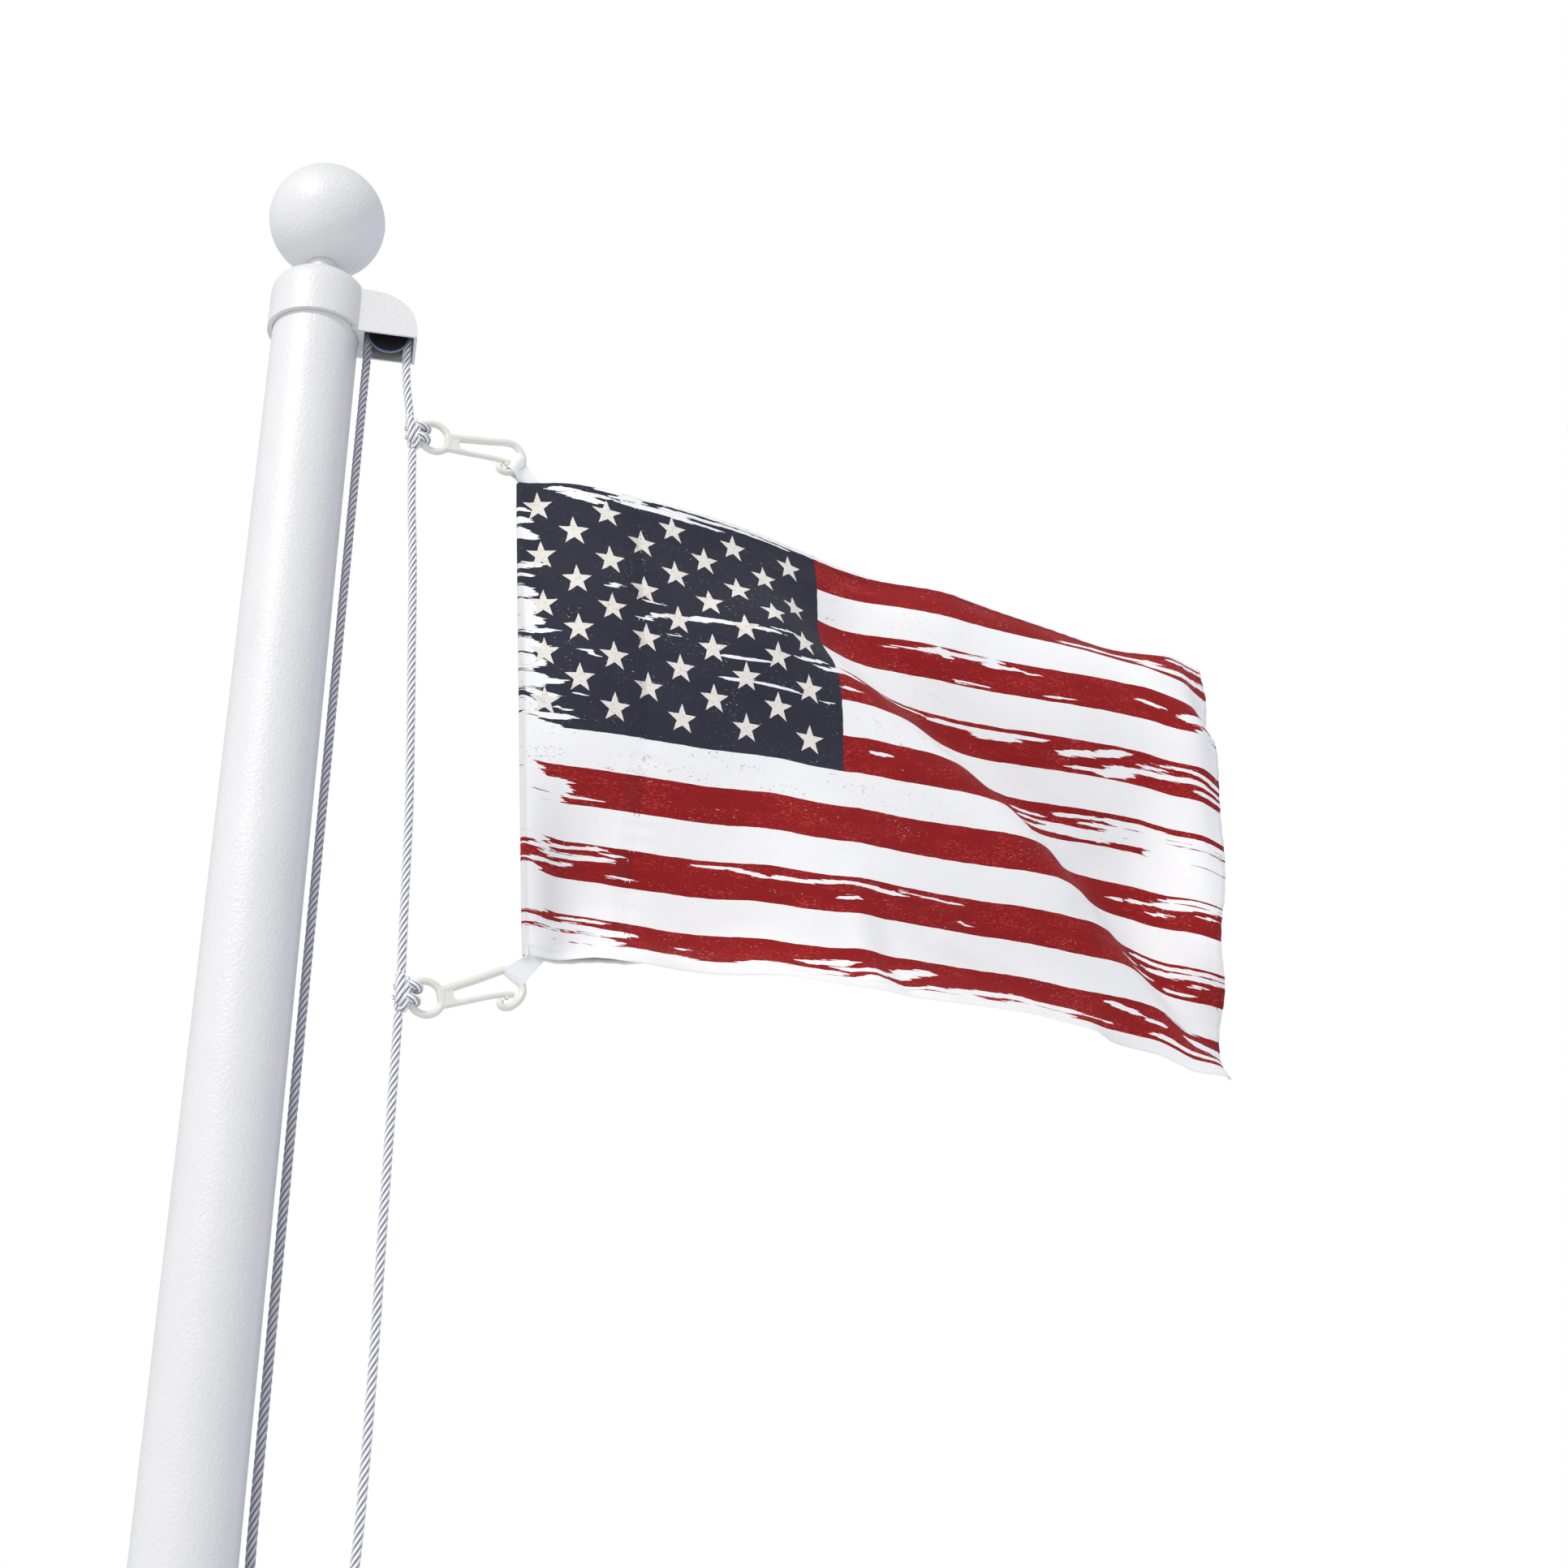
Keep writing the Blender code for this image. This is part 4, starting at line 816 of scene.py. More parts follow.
# Worn streaks in millimetres along the cloth. Across it, a stripe's streaks are placed by parts of the
# stripe's width, and the canton's by millimetres down from the top edge
Streak = namedtuple("Streak", "along_1 part_1 along_2 part_2 half_width strength")
STRIPE_WEAR = {
    1: (Streak(452, 0.86, 500, 0.62, 1.7, 1.0), Streak(480, 0.70, 545, 0.45, 3.0, 1.0),
        Streak(530, 0.75, 600, 0.55, 3.2, 0.9), Streak(560, 0.15, 600, 0.10, 1.6, 0.8)),
    3: (Streak(296, 0.28, 322, 0.20, 1.0, 0.7), Streak(328, 0.20, 396, 0.07, 1.8, 1.0),
        Streak(344, 0.06, 352, 0.26, 2.6, 0.9), Streak(384, 0.24, 412, 0.20, 1.5, 0.9),
        Streak(416, 0.28, 428, 0.26, 1.1, 0.8), Streak(358, 0.90, 386, 0.88, 1.0, 0.8),
        Streak(434, 0.86, 462, 0.84, 0.9, 0.8), Streak(519, 0.46, 536, 0.50, 1.3, 0.8),
        Streak(556, 0.62, 600, 0.50, 4.2, 1.0), Streak(572, 0.95, 600, 0.80, 3.4, 1.0)),
    5: (Streak(240, 0.06, 262, 0.16, 1.6, 1.0), Streak(244, 0.62, 252, 0.64, 1.5, 0.9),
        Streak(290, 0.12, 330, 0.10, 1.0, 0.8), Streak(338, 0.18, 436, 0.19, 1.7, 1.0),
        Streak(380, 0.33, 412, 0.31, 1.9, 1.0), Streak(452, 0.46, 482, 0.36, 2.5, 1.0),
        Streak(484, 0.32, 510, 0.16, 3.0, 1.0), Streak(458, 0.84, 488, 0.80, 1.2, 0.9),
        Streak(488, 0.86, 514, 0.76, 3.2, 1.0), Streak(496, 0.66, 572, 0.46, 2.0, 1.0),
        Streak(524, 0.40, 546, 0.34, 1.4, 0.8), Streak(536, 0.24, 560, 0.18, 1.2, 0.8),
        Streak(562, 0.20, 600, 0.34, 1.5, 1.0), Streak(560, 0.48, 600, 0.56, 1.5, 1.0),
        Streak(570, 0.76, 600, 0.78, 1.5, 1.0)),
    7: (Streak(264, 0.38, 274, 0.36, 1.6, 1.0), Streak(408, 0.32, 440, 0.40, 1.1, 0.9),
        Streak(412, 0.52, 470, 0.60, 1.3, 1.0), Streak(420, 0.74, 500, 0.86, 1.4, 1.0),
        Streak(452, 0.28, 504, 0.20, 1.5, 1.0), Streak(452, 0.66, 505, 0.66, 1.7, 1.0),
        Streak(498, 0.26, 600, 0.26, 2.7, 1.0), Streak(498, 0.54, 600, 0.60, 2.6, 1.0),
        Streak(500, 0.78, 548, 0.70, 1.4, 1.0), Streak(536, 0.92, 600, 0.88, 3.0, 1.0),
        Streak(548, 0.74, 600, 0.76, 2.0, 1.0), Streak(440, 0.70, 600, 0.72, 2.2, 1.0),
        Streak(476, 0.42, 600, 0.40, 1.6, 1.0)),
    9: (Streak(0, 0.05, 12, 0.16, 3.5, 1.0), Streak(0, 0.40, 16, 0.42, 5.0, 1.0),
        Streak(0, 0.62, 34, 0.62, 5.5, 1.0), Streak(0, 0.92, 28, 0.92, 3.2, 1.0),
        Streak(34, 0.80, 57, 0.82, 1.0, 1.0), Streak(20, 0.38, 37, 0.42, 1.6, 0.9),
        Streak(510, 0.48, 519, 0.46, 1.4, 1.0), Streak(527, 0.44, 540, 0.38, 1.4, 1.0),
        Streak(546, 0.34, 572, 0.30, 2.6, 1.0), Streak(552, 0.16, 600, 0.10, 1.7, 1.0),
        Streak(574, 0.30, 600, 0.22, 1.4, 0.9), Streak(544, 0.64, 558, 0.58, 1.3, 1.0),
        Streak(582, 0.50, 594, 0.46, 1.3, 1.0)),
    11: (Streak(0, 0.10, 20, 0.06, 2.6, 1.0), Streak(20, 0.20, 52, 0.14, 1.3, 1.0),
         Streak(2, 0.34, 22, 0.28, 1.4, 1.0), Streak(18, 0.44, 74, 0.36, 1.9, 1.0),
         Streak(4, 0.72, 46, 0.60, 1.5, 1.0), Streak(0, 0.92, 12, 0.92, 2.6, 1.0),
         Streak(55, 0.10, 64, 0.10, 1.7, 1.0), Streak(70, 0.20, 80, 0.22, 1.4, 0.9),
         Streak(72, 0.80, 88, 0.78, 1.0, 0.8), Streak(134, 0.16, 160, 0.14, 1.1, 0.9),
         Streak(158, 0.14, 184, 0.34, 1.3, 1.0), Streak(190, 0.32, 240, 0.18, 1.4, 1.0),
         Streak(236, 0.16, 290, 0.26, 1.4, 1.0), Streak(241, 0.62, 254, 0.56, 1.4, 0.9),
         Streak(340, 0.66, 350, 0.78, 1.1, 0.8), Streak(285, 0.14, 340, 0.20, 0.9, 0.7),
         Streak(504, 0.54, 522, 0.50, 1.6, 0.9), Streak(518, 0.78, 540, 0.70, 1.5, 0.9),
         Streak(524, 0.14, 560, 0.16, 1.5, 1.0), Streak(534, 0.40, 600, 0.28, 1.8, 1.0),
         Streak(560, 0.16, 600, 0.12, 1.5, 0.9), Streak(548, 0.84, 572, 0.84, 1.3, 1.0),
         Streak(572, 0.56, 582, 0.52, 1.3, 0.9)),
    13: (Streak(0, 0.06, 16, 0.04, 2.4, 1.0), Streak(36, 0.14, 70, 0.12, 1.0, 1.0),
         Streak(0, 0.36, 90, 0.38, 3.0, 1.0), Streak(0, 0.68, 78, 0.70, 4.2, 1.0),
         Streak(0, 0.95, 92, 0.97, 3.4, 1.0), Streak(92, 0.99, 132, 0.97, 1.8, 1.0),
         Streak(126, 0.52, 132, 0.54, 1.3, 1.0), Streak(168, 0.98, 240, 0.86, 3.0, 1.0),
         Streak(214, 0.52, 252, 0.44, 2.2, 1.0), Streak(238, 0.62, 252, 0.70, 2.0, 0.9),
         Streak(256, 0.74, 300, 0.54, 2.2, 1.0), Streak(286, 0.44, 318, 0.34, 2.6, 1.0),
         Streak(252, 1.0, 306, 0.92, 1.6, 0.9), Streak(310, 0.86, 350, 0.96, 2.2, 0.9),
         Streak(334, 0.80, 400, 0.70, 2.6, 1.0), Streak(398, 0.80, 446, 0.74, 2.4, 1.0),
         Streak(380, 0.96, 440, 0.94, 2.4, 0.9), Streak(450, 0.74, 482, 0.80, 0.9, 0.8),
         Streak(478, 0.20, 508, 0.38, 1.8, 1.0), Streak(514, 0.46, 532, 0.46, 1.3, 1.0),
         Streak(520, 0.84, 600, 0.76, 1.7, 1.0), Streak(558, 0.36, 600, 0.50, 3.4, 1.0),
         Streak(540, 0.06, 570, 0.04, 1.2, 0.8)),
}
CANTON_WEAR = (
    Streak(24, 4.6, 40, 5.5, 2.0, 1.0), Streak(34, 9, 60, 12, 2.4, 1.0), Streak(46, 6.5, 66, 7, 1.4, 1.0),
    Streak(60, 1.2, 246, 1.6, 1.7, 1.0), Streak(70, 5, 90, 4.6, 1.4, 1.0),
    Streak(78, 8.4, 122, 8.2, 2.0, 1.0), Streak(112, 10, 156, 10.4, 1.0, 1.0),
    Streak(108, 5.4, 150, 5.8, 1.2, 0.9), Streak(148, 4.6, 212, 4.8, 1.0, 0.9),
    Streak(0, 21, 8, 22, 1.6, 0.9), Streak(0, 30, 6, 30, 3.0, 0.9), Streak(0, 40, 9, 43, 4.5, 1.0),
    Streak(0, 66, 15, 64, 2.4, 1.0), Streak(0, 73, 9, 73, 1.8, 0.9), Streak(0, 86, 8, 88, 4.6, 1.0),
    Streak(0, 98, 11, 98, 6.0, 1.0), Streak(0, 110, 13, 108, 6.0, 1.0), Streak(4, 117, 22, 115, 1.6, 1.0),
    Streak(0, 127, 14, 128, 6.0, 1.0), Streak(0, 140, 14, 140, 7.0, 1.0),
    Streak(0, 154, 15, 152, 7.0, 1.0), Streak(12, 154, 31, 153, 1.5, 1.0),
    Streak(4, 162, 22, 164, 2.0, 1.0), Streak(0, 172, 12, 172, 5.0, 1.0),
    Streak(8, 179, 35, 179, 1.9, 1.0), Streak(6, 186, 27, 186, 1.6, 1.0),
    Streak(0, 184, 10, 184, 4.0, 1.0), Streak(90, 99, 102, 94, 1.6, 1.0),
    Streak(100, 94, 128, 92, 1.5, 1.0), Streak(124, 92, 146, 91, 2.0, 1.0),
    Streak(144, 92, 186, 95, 1.3, 1.0), Streak(184, 93, 206, 91, 0.9, 0.8),
    Streak(96, 85, 124, 83, 0.8, 0.8), Streak(104, 108, 118, 107, 0.9, 0.8),
    Streak(148, 118, 178, 119, 1.2, 1.0), Streak(208, 110, 228, 108, 1.2, 1.0),
    Streak(224, 113, 244, 112, 1.4, 1.0), Streak(148, 134, 204, 136, 1.0, 1.0),
    Streak(226, 139, 232, 139, 1.1, 0.9), Streak(48, 130, 54, 134, 1.4, 0.9),
    Streak(40, 161, 44, 162, 1.5, 0.9), Streak(28, 172, 31, 174, 1.7, 0.9),
    Streak(66, 79, 70, 76, 1.2, 0.9),
)


def wear_at(along, down):
    """How far the ink is worn away at these places, from 0 to 1, by the listed streaks."""
    worn = np.zeros_like(along)
    rows = [(streak, False) for streak in CANTON_WEAR]
    for number, streaks in STRIPE_WEAR.items():
        top = PRINT_TOP + STRIPE * (number - 1)
        for streak in streaks:
            down_1, down_2 = top + STRIPE * streak.part_1, top + STRIPE * streak.part_2
            rows.append((streak._replace(part_1=down_1, part_2=down_2), True))
    for streak, on_stripe in rows:
        run = streak.along_2 - streak.along_1
        fall = streak.part_2 - streak.part_1
        past = along - streak.along_1
        under = down - streak.part_1
        share = np.clip((past * run + under * fall) / (run * run + fall * fall), 0, 1)
        ends = np.clip(np.minimum(share, 1 - share) * 8 + 0.45, 0, 1)
        ends = np.where(on_stripe & (streak.along_2 >= FLY) & (share > 0.5), 1, ends)
        ends = np.where((streak.along_1 <= 0) & (share < 0.5), 1, ends)
        away_along = (past - share * run) / 6
        away_down = (under - share * fall) / (streak.half_width * ends)
        falloff = np.clip(1.4 - np.hypot(away_along, away_down) * 0.9, 0, 1)
        worn = np.maximum(worn, streak.strength * falloff)
    return worn


def flag_print():
    """The dyed cloth: stripes, canton and stars, worn by streaks and noise, with painted shade where it lies
    in two layers.
    """
    made = new_material("printed_polyester", (0.8, 0.8, 0.8), 0.85, sheen=0.03)
    made.node_tree.nodes["Principled BSDF"].inputs["Specular IOR Level"].default_value = 0.2
    tree = made.node_tree
    cut = tree.nodes.new("ShaderNodeUVMap")
    cut.uv_map = "cut"
    split = tree.nodes.new("ShaderNodeSeparateXYZ")
    tree.links.new(cut.outputs[0], split.inputs[0])
    along = calc(tree, "MULTIPLY", split.outputs[0], 1000.0)
    down = calc(tree, "MULTIPLY", split.outputs[1], 1000.0)

    def grain(length, width, shift, detail=2.0):
        """Noise drawn out along the cloth, its patches about this long and wide in millimetres."""
        vector = tree.nodes.new("ShaderNodeCombineXYZ")
        tree.links.new(calc(tree, "MULTIPLY", along, 1 / length), vector.inputs[0])
        tree.links.new(calc(tree, "MULTIPLY", down, 1 / width), vector.inputs[1])
        vector.inputs[2].default_value = shift
        return cloudy(tree, vector.outputs[0], 1.0, detail)

    wobble = calc(tree, "MULTIPLY_ADD", grain(16, 8, 3.1, 3), 1.6, -0.8)
    edge_down = calc(tree, "ADD", down, wobble)
    edge_along = calc(tree, "ADD", along, wobble)
    band = calc(tree, "DIVIDE", calc(tree, "SUBTRACT", edge_down, PRINT_TOP), STRIPE)
    on_stripe = calc(tree, "LESS_THAN", calc(tree, "FLOORED_MODULO", band, 2.0), 1.0)
    in_canton = calc(tree, "MULTIPLY", calc(tree, "LESS_THAN", edge_along, CANTON_WIDTH),
                     calc(tree, "LESS_THAN", band, 7.0))

    worn = tree.nodes.new("ShaderNodeAttribute")
    worn.attribute_name = "wear"
    brush = calc(tree, "ADD", calc(tree, "MULTIPLY", grain(34, 1.4, 7.7, 3), 0.8),
                 calc(tree, "MULTIPLY_ADD", grain(8, 0.7, 1.3, 3), 0.55, -0.175))
    threshold = calc(tree, "MULTIPLY_ADD", worn.outputs["Fac"], 0.60, 0.20)
    inked = step_up(tree, calc(tree, "SUBTRACT", brush, threshold), -0.012, 0.012)
    clusters = step_up(tree, grain(30, 16, 5.5, 2), 0.50, 0.66)
    chips = calc(tree, "MULTIPLY", step_up(tree, grain(2.6, 0.9, 9.2, 3), 0.66, 0.71), clusters)
    inked = calc(tree, "MULTIPLY", inked, calc(tree, "MULTIPLY_ADD", chips, -0.55, 1.0))

    scuffs = calc(tree, "MULTIPLY", step_up(tree, grain(2.4, 0.8, 2.4, 4), 0.54, 0.64),
                  step_up(tree, grain(40, 12, 8.8, 2), 0.42, 0.60))
    red = blend_colour(tree, grain(60, 20, 4.2, 3), (0.24, 0.0065, 0.008), (0.31, 0.0105, 0.012))
    red = blend_colour(tree, calc(tree, "MULTIPLY", scuffs, 0.75), red, (0.60, 0.06, 0.05))
    navy = blend_colour(tree, grain(50, 30, 6.1, 3), (0.025, 0.025, 0.042), (0.034, 0.034, 0.051))
    navy = blend_colour(tree, calc(tree, "MULTIPLY", scuffs, 0.10), navy, (0.20, 0.19, 0.22))
    ink = blend_colour(tree, in_canton, red, navy)

    cloth = blend_colour(tree, grain(90, 60, 2.9, 2), (0.90, 0.90, 0.90), (0.935, 0.935, 0.935))
    # Painted shade: the rolled hoist edge is painted a little grey over its first few millimetres, to tone
    # down its lit curve.
    roll_painted_shade = step_up(tree, calc(tree, "MULTIPLY", along, -1.0), -5.0, -1.0)
    cloth = blend_colour(tree, roll_painted_shade, cloth, (0.68, 0.68, 0.69))
    near_canton = step_up(tree, calc(tree, "MULTIPLY", along, -1.0), -400.0, -240.0)
    above_half = calc(tree, "LESS_THAN", down, 216.0)
    flecks = calc(tree, "MULTIPLY", step_up(tree, grain(2.6, 1.2, 0.4, 2), 0.63, 0.68),
                  step_up(tree, grain(34, 9, 3.7, 2), 0.48, 0.60))
    flecks = calc(tree, "MULTIPLY", flecks, calc(tree, "MULTIPLY", near_canton, above_half))
    cloth = blend_colour(tree, calc(tree, "MULTIPLY", flecks, 0.7), cloth, (0.30, 0.24, 0.26))
    inked = calc(tree, "MULTIPLY", inked, calc(tree, "MAXIMUM", on_stripe, in_canton))
    colour = blend_colour(tree, inked, cloth, ink)

    def stars_from(first_column, first_row):
        """A star in each cell of every second column and row."""
        star_wobble = calc(tree, "MULTIPLY_ADD", grain(5, 5, 1.9, 2), 1.0, -0.5)
        across, fall = (calc(tree, "SUBTRACT", calc(tree, "FLOORED_MODULO", calc(tree, "ADD", calc(
            tree, "ADD", value, star_wobble), cell - start), 2 * cell), cell)
            for value, cell, start in ((along, STAR_ALONG, STAR_START + first_column * STAR_ALONG),
                                       (down, STAR_DOWN, PRINT_TOP + first_row * STAR_DOWN)))
        reach = calc(tree, "SQRT", calc(tree, "ADD", calc(tree, "POWER", calc(tree, "ABSOLUTE", across), 2.0),
                                        calc(tree, "POWER", calc(tree, "ABSOLUTE", fall), 2.0)))
        turn = calc(tree, "ARCTAN2", across, calc(tree, "MULTIPLY", fall, -1.0))
        turn = calc(tree, "PINGPONG", calc(tree, "ADD", turn, math.tau), math.pi / 5)
        waist = STAR_RADIUS * STAR_WAIST
        tip_x, side_y = waist * math.cos(math.pi / 5), waist * math.sin(math.pi / 5)
        edge = calc(tree, "ADD", calc(tree, "MULTIPLY", calc(tree, "COSINE", turn), side_y),
                    calc(tree, "MULTIPLY", calc(tree, "SINE", turn), STAR_RADIUS - tip_x))
        return calc(tree, "LESS_THAN", calc(tree, "MULTIPLY", reach, edge), STAR_RADIUS * side_y)

    odd = stars_from(0, 1)
    even = stars_from(1, 2)
    inside = calc(tree, "MULTIPLY",
                  calc(tree, "COMPARE", along, STAR_START + 4 * STAR_ALONG, 4 * STAR_ALONG),
                  calc(tree, "COMPARE", down, PRINT_TOP + 5 * STAR_DOWN, 4 * STAR_DOWN))
    stars = calc(tree, "MAXIMUM", odd, calc(tree, "MULTIPLY", even, inside))
    smudges = calc(tree, "MULTIPLY", step_up(tree, grain(1.8, 1.5, 6.6, 3), 0.55, 0.68), 0.55)
    cream = blend_colour(tree, smudges, (0.82, 0.78, 0.72), (0.55, 0.40, 0.34))
    colour = blend_colour(tree, calc(tree, "MULTIPLY", stars, in_canton), colour, cream)

    # Painted shade: the seam strip, the sleeve and the hems are painted dim where the cloth lies in two
    # layers.
    seam_strip = calc(tree, "COMPARE", along, SLEEVE - 7.0, 6.0)
    in_sleeve = calc(tree, "LESS_THAN", along, SLEEVE)
    at_hem = calc(tree, "MAXIMUM", calc(tree, "GREATER_THAN", along, FLY - HEM_FLY),
                  calc(tree, "GREATER_THAN", calc(tree, "ABSOLUTE", calc(tree, "SUBTRACT", down, HOIST / 2)),
                       HOIST / 2 - HEM_TOP_BOTTOM))
    doubled = calc(tree, "ADD", calc(tree, "MULTIPLY", seam_strip, 0.16), calc(tree, "ADD", calc(
        tree, "MULTIPLY", in_sleeve, 0.03), calc(tree, "MULTIPLY", at_hem, 0.07)))
    ink_share = calc(tree, "MULTIPLY_ADD", inked, 0.85, 0.15)
    layer_shade = calc(tree, "MULTIPLY", doubled, ink_share)
    paint_with(made, blend_colour(tree, layer_shade, colour, (0.02, 0.015, 0.025)))

    weave = calc(tree, "MULTIPLY", calc(tree, "SINE", calc(tree, "MULTIPLY", along, math.tau / 0.8)),
                 calc(tree, "SINE", calc(tree, "MULTIPLY", down, math.tau / 0.8)))
    raise_surface(made, calc(tree, "ADD", weave, grain(6, 6, 0.7, 3)), 0.00012, 0.6)
    return made


flag_material = flag_print()


def layer_places(edge_length):
    """Cut coordinates across the cloth from the raw edge of the sleeve to the turned-in fly hem."""
    quarter = SLEEVE_ROLL * math.pi / 2
    lost = quarter - SLEEVE_ROLL
    back = list(-np.arange(SLEEVE + lost, quarter + 1.5, -edge_length))
    roll = list(np.linspace(-quarter, quarter, 9))
    front = list(np.linspace(quarter, FLY + lost, round((FLY - SLEEVE_ROLL) / edge_length) + 1))[1:-1]
    return np.array(back + roll + front + [FLY + lost - 0.5, FLY + lost, FLY + lost + 0.5,
                                           FLY + lost + HEM_FLY / 2, FLY + lost + HEM_FLY])


def along_and_layer(place):
    """Where cut cloth lies once sewn: how far along, how far behind the front, and how it faces."""
    quarter = SLEEVE_ROLL * math.pi / 2
    lost = quarter - SLEEVE_ROLL
    if abs(place) < quarter:
        turn = place / SLEEVE_ROLL
        return SLEEVE_ROLL * (1 - math.cos(turn)), SLEEVE_ROLL * (math.sin(turn) - 1), math.sin(turn)
    if place < 0:
        along = -place - lost
        room = min(max((SLEEVE - along) / SEAM_TAPER, 0), 1)
        return along, -(LAYER + (2 * SLEEVE_ROLL - LAYER) * room * (2 - room)), -1.0
    along = place - lost
    if along <= FLY:
        return along, -LAYER / 2 * max(0, 1 - (FLY - along) / 0.5), 1.0
    return 2 * FLY - along, -LAYER / 2 * (1 + min(1, (along - FLY) / 0.5)), 1.0


def down_and_layer(place):
    """The same across the top and bottom hems."""
    if place < 0:
        return -place, -LAYER / 2 * (1 + min(1, -place / 0.5))
    if place > HOIST:
        return 2 * HOIST - place, -LAYER / 2 * (1 + min(1, (place - HOIST) / 0.5))
    return place, -LAYER / 2 * max(0, 1 - min(place, HOIST - place) / 0.5)


def two_sided(centre, facing, half_thickness):
    """Points in metres and faces of a closed sheet, from the grid of places midway through it."""
    size = centre.shape[0] * centre.shape[1]
    sides = [centre + facing * half_thickness, centre - facing * half_thickness]
    verts = np.concatenate([side.reshape(-1, 3) for side in sides]) / 1000
    index = np.arange(size).reshape(centre.shape[:2])
    quads = np.stack([index[:-1, :-1], index[:-1, 1:], index[1:, 1:], index[1:, :-1]], axis=-1)
    quads = quads.reshape(-1, 4)
    rim = [*index[:, 0], *index[-1, 1:], *index[-2::-1, -1], *index[0, -2:0:-1]]
    faces = [tuple(q) for q in quads] + [tuple(size + q[::-1]) for q in quads]
    faces += [(a, b, b + size, a + size) for a, b in zip(rim, rim[1:] + rim[:1])]
    return verts, [tuple(int(v) for v in face) for face in faces]


def add_flat_coordinates(mesh, name, values):
    """Stores a pair of flat coordinates for each point as a layer of this name."""
    corner = np.zeros(len(mesh.loops), np.int32)
    mesh.loops.foreach_get("vertex_index", corner)
    mesh.uv_layers.new(name=name).data.foreach_set("uv", values[corner].astype(np.float32).ravel())


def build_cloth(edge_along, edge_down):
    """The whole cloth as one thin closed sheet, with its sleeve and hems turned back."""
    across = layer_places(edge_along)
    middle = list(np.linspace(0, HOIST, round(HOIST / edge_down) + 1))[1:-1]
    hem = [HEM_TOP_BOTTOM, HEM_TOP_BOTTOM / 2, 0.5]
    falls = np.array([-h for h in hem] + [0, 0.5] + middle + [HOIST - 0.5, HOIST]
                     + [HOIST + h for h in reversed(hem)])
    rows = [along_and_layer(place) for place in across]
    columns = [down_and_layer(place) for place in falls]
    along = np.array([row[0] for row in rows])
    down = np.array([column[0] for column in columns])
    sorted_along, sorted_down = np.unique(along.round(4)), np.unique(down.round(4))
    place, normal = cloth_surface(sorted_along, sorted_down)
    pick = np.ix_(np.searchsorted(sorted_along, along.round(4)), np.searchsorted(sorted_down, down.round(4)))
    place, normal = place[pick], normal[pick]
    behind = np.array([row[1] for row in rows])[:, None] + (
        np.array([row[2] for row in rows])[:, None] * np.array([column[1] for column in columns])[None])
    centre = place + normal * behind[..., None]
    step_a = np.gradient(centre, axis=0)
    step_d = np.gradient(centre, axis=1)
    facing = np.cross(step_d, step_a)
    facing /= np.maximum(np.linalg.norm(facing, axis=-1, keepdims=True), 1e-9)
    piece = add_piece("flag_cloth_sewn", *two_sided(centre, facing, CLOTH / 2), flag_material, 60)
    a_grid, d_grid = np.meshgrid(along, down, indexing="ij")
    skew = 3.6 * np.exp(-(d_grid / 50) ** 2 - (a_grid / 130) ** 2)
    rise = 2.2 * np.exp(-((a_grid - 10) / 60) ** 2 - (d_grid / 60) ** 2)
    cut = np.tile(np.stack([(a_grid + skew).ravel(), (d_grid + rise).ravel()], axis=1) / 1000, (2, 1))
    count_a, count_d = centre.shape[:2]
    share_a = np.linspace(0.004, 0.996, count_a)[:, None] * np.ones(count_d)
    share_d = np.linspace(0.996, 0.504, count_d)[None] * np.ones((count_a, 1))
    bake = np.concatenate([np.stack([share_a.ravel(), share_d.ravel()], axis=1),
                           np.stack([share_a.ravel(), share_d.ravel() - 0.5], axis=1)])
    add_flat_coordinates(piece.data, "cut", cut)
    add_flat_coordinates(piece.data, "OFBake", bake)
    store_value(piece.data, "wear", np.tile(wear_at(a_grid, d_grid).ravel(), 2))
    return piece


cloth = build_cloth(6.0, 1.25)
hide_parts("flag_cloth")


# Care label
# A blank white satin ribbon is sewn into the sleeve's seam and lies against the back of the cloth,
# where it lifts a little in soft waves towards its free end.
LABEL_ALONG = (92.0, 153.0)
LABEL_DOWN = (239.0, 267.0)
LABEL_BEHIND = 1.85
LABEL_HALF_THICKNESS = 0.15


def satin_finish():
    """White satin with faint ribs."""
    made = new_material("white_satin", (0.84, 0.84, 0.85), 0.4, sheen=0.3)
    tree = made.node_tree
    stretch = tree.nodes.new("ShaderNodeMapping")
    stretch.inputs["Scale"].default_value = (1, 1, 12)
    tree.links.new(place_of(tree), stretch.inputs["Vector"])
    ribs = cloudy(tree, stretch.outputs[0], 400, 2)
    paint_with(made, blend_colour(tree, ribs, (0.80, 0.80, 0.82), (0.87, 0.87, 0.88)))
    raise_surface(made, ribs, 0.0002)
    return made


def add_label():
    """The ribbon as a thin closed sheet that follows the cloth."""
    along = np.linspace(*LABEL_ALONG, 32)
    down = np.linspace(*LABEL_DOWN, 15)
    place, normal = cloth_surface(along, down)
    lift = 0.35 * np.sin(np.linspace(0, 5, 32))[:, None] * np.linspace(0, 1, 32)[:, None] * np.ones(15)
    centre = place - normal * (LABEL_BEHIND + lift)[..., None]
    label = add_piece("blank_label", *two_sided(centre, normal, LABEL_HALF_THICKNESS), satin_finish(), 60)
    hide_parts("care_label")
    return label


label = add_label()


# Stitching
# The hems and the sleeve are sewn down with thin thread in short running stitches, one row at each
# hem and two at the sleeve's seam. The thread took the dye with the cloth, so it has its colours.
STITCH = 2.6
STITCH_GAP = 3.6
THREAD_RADIUS = 0.17


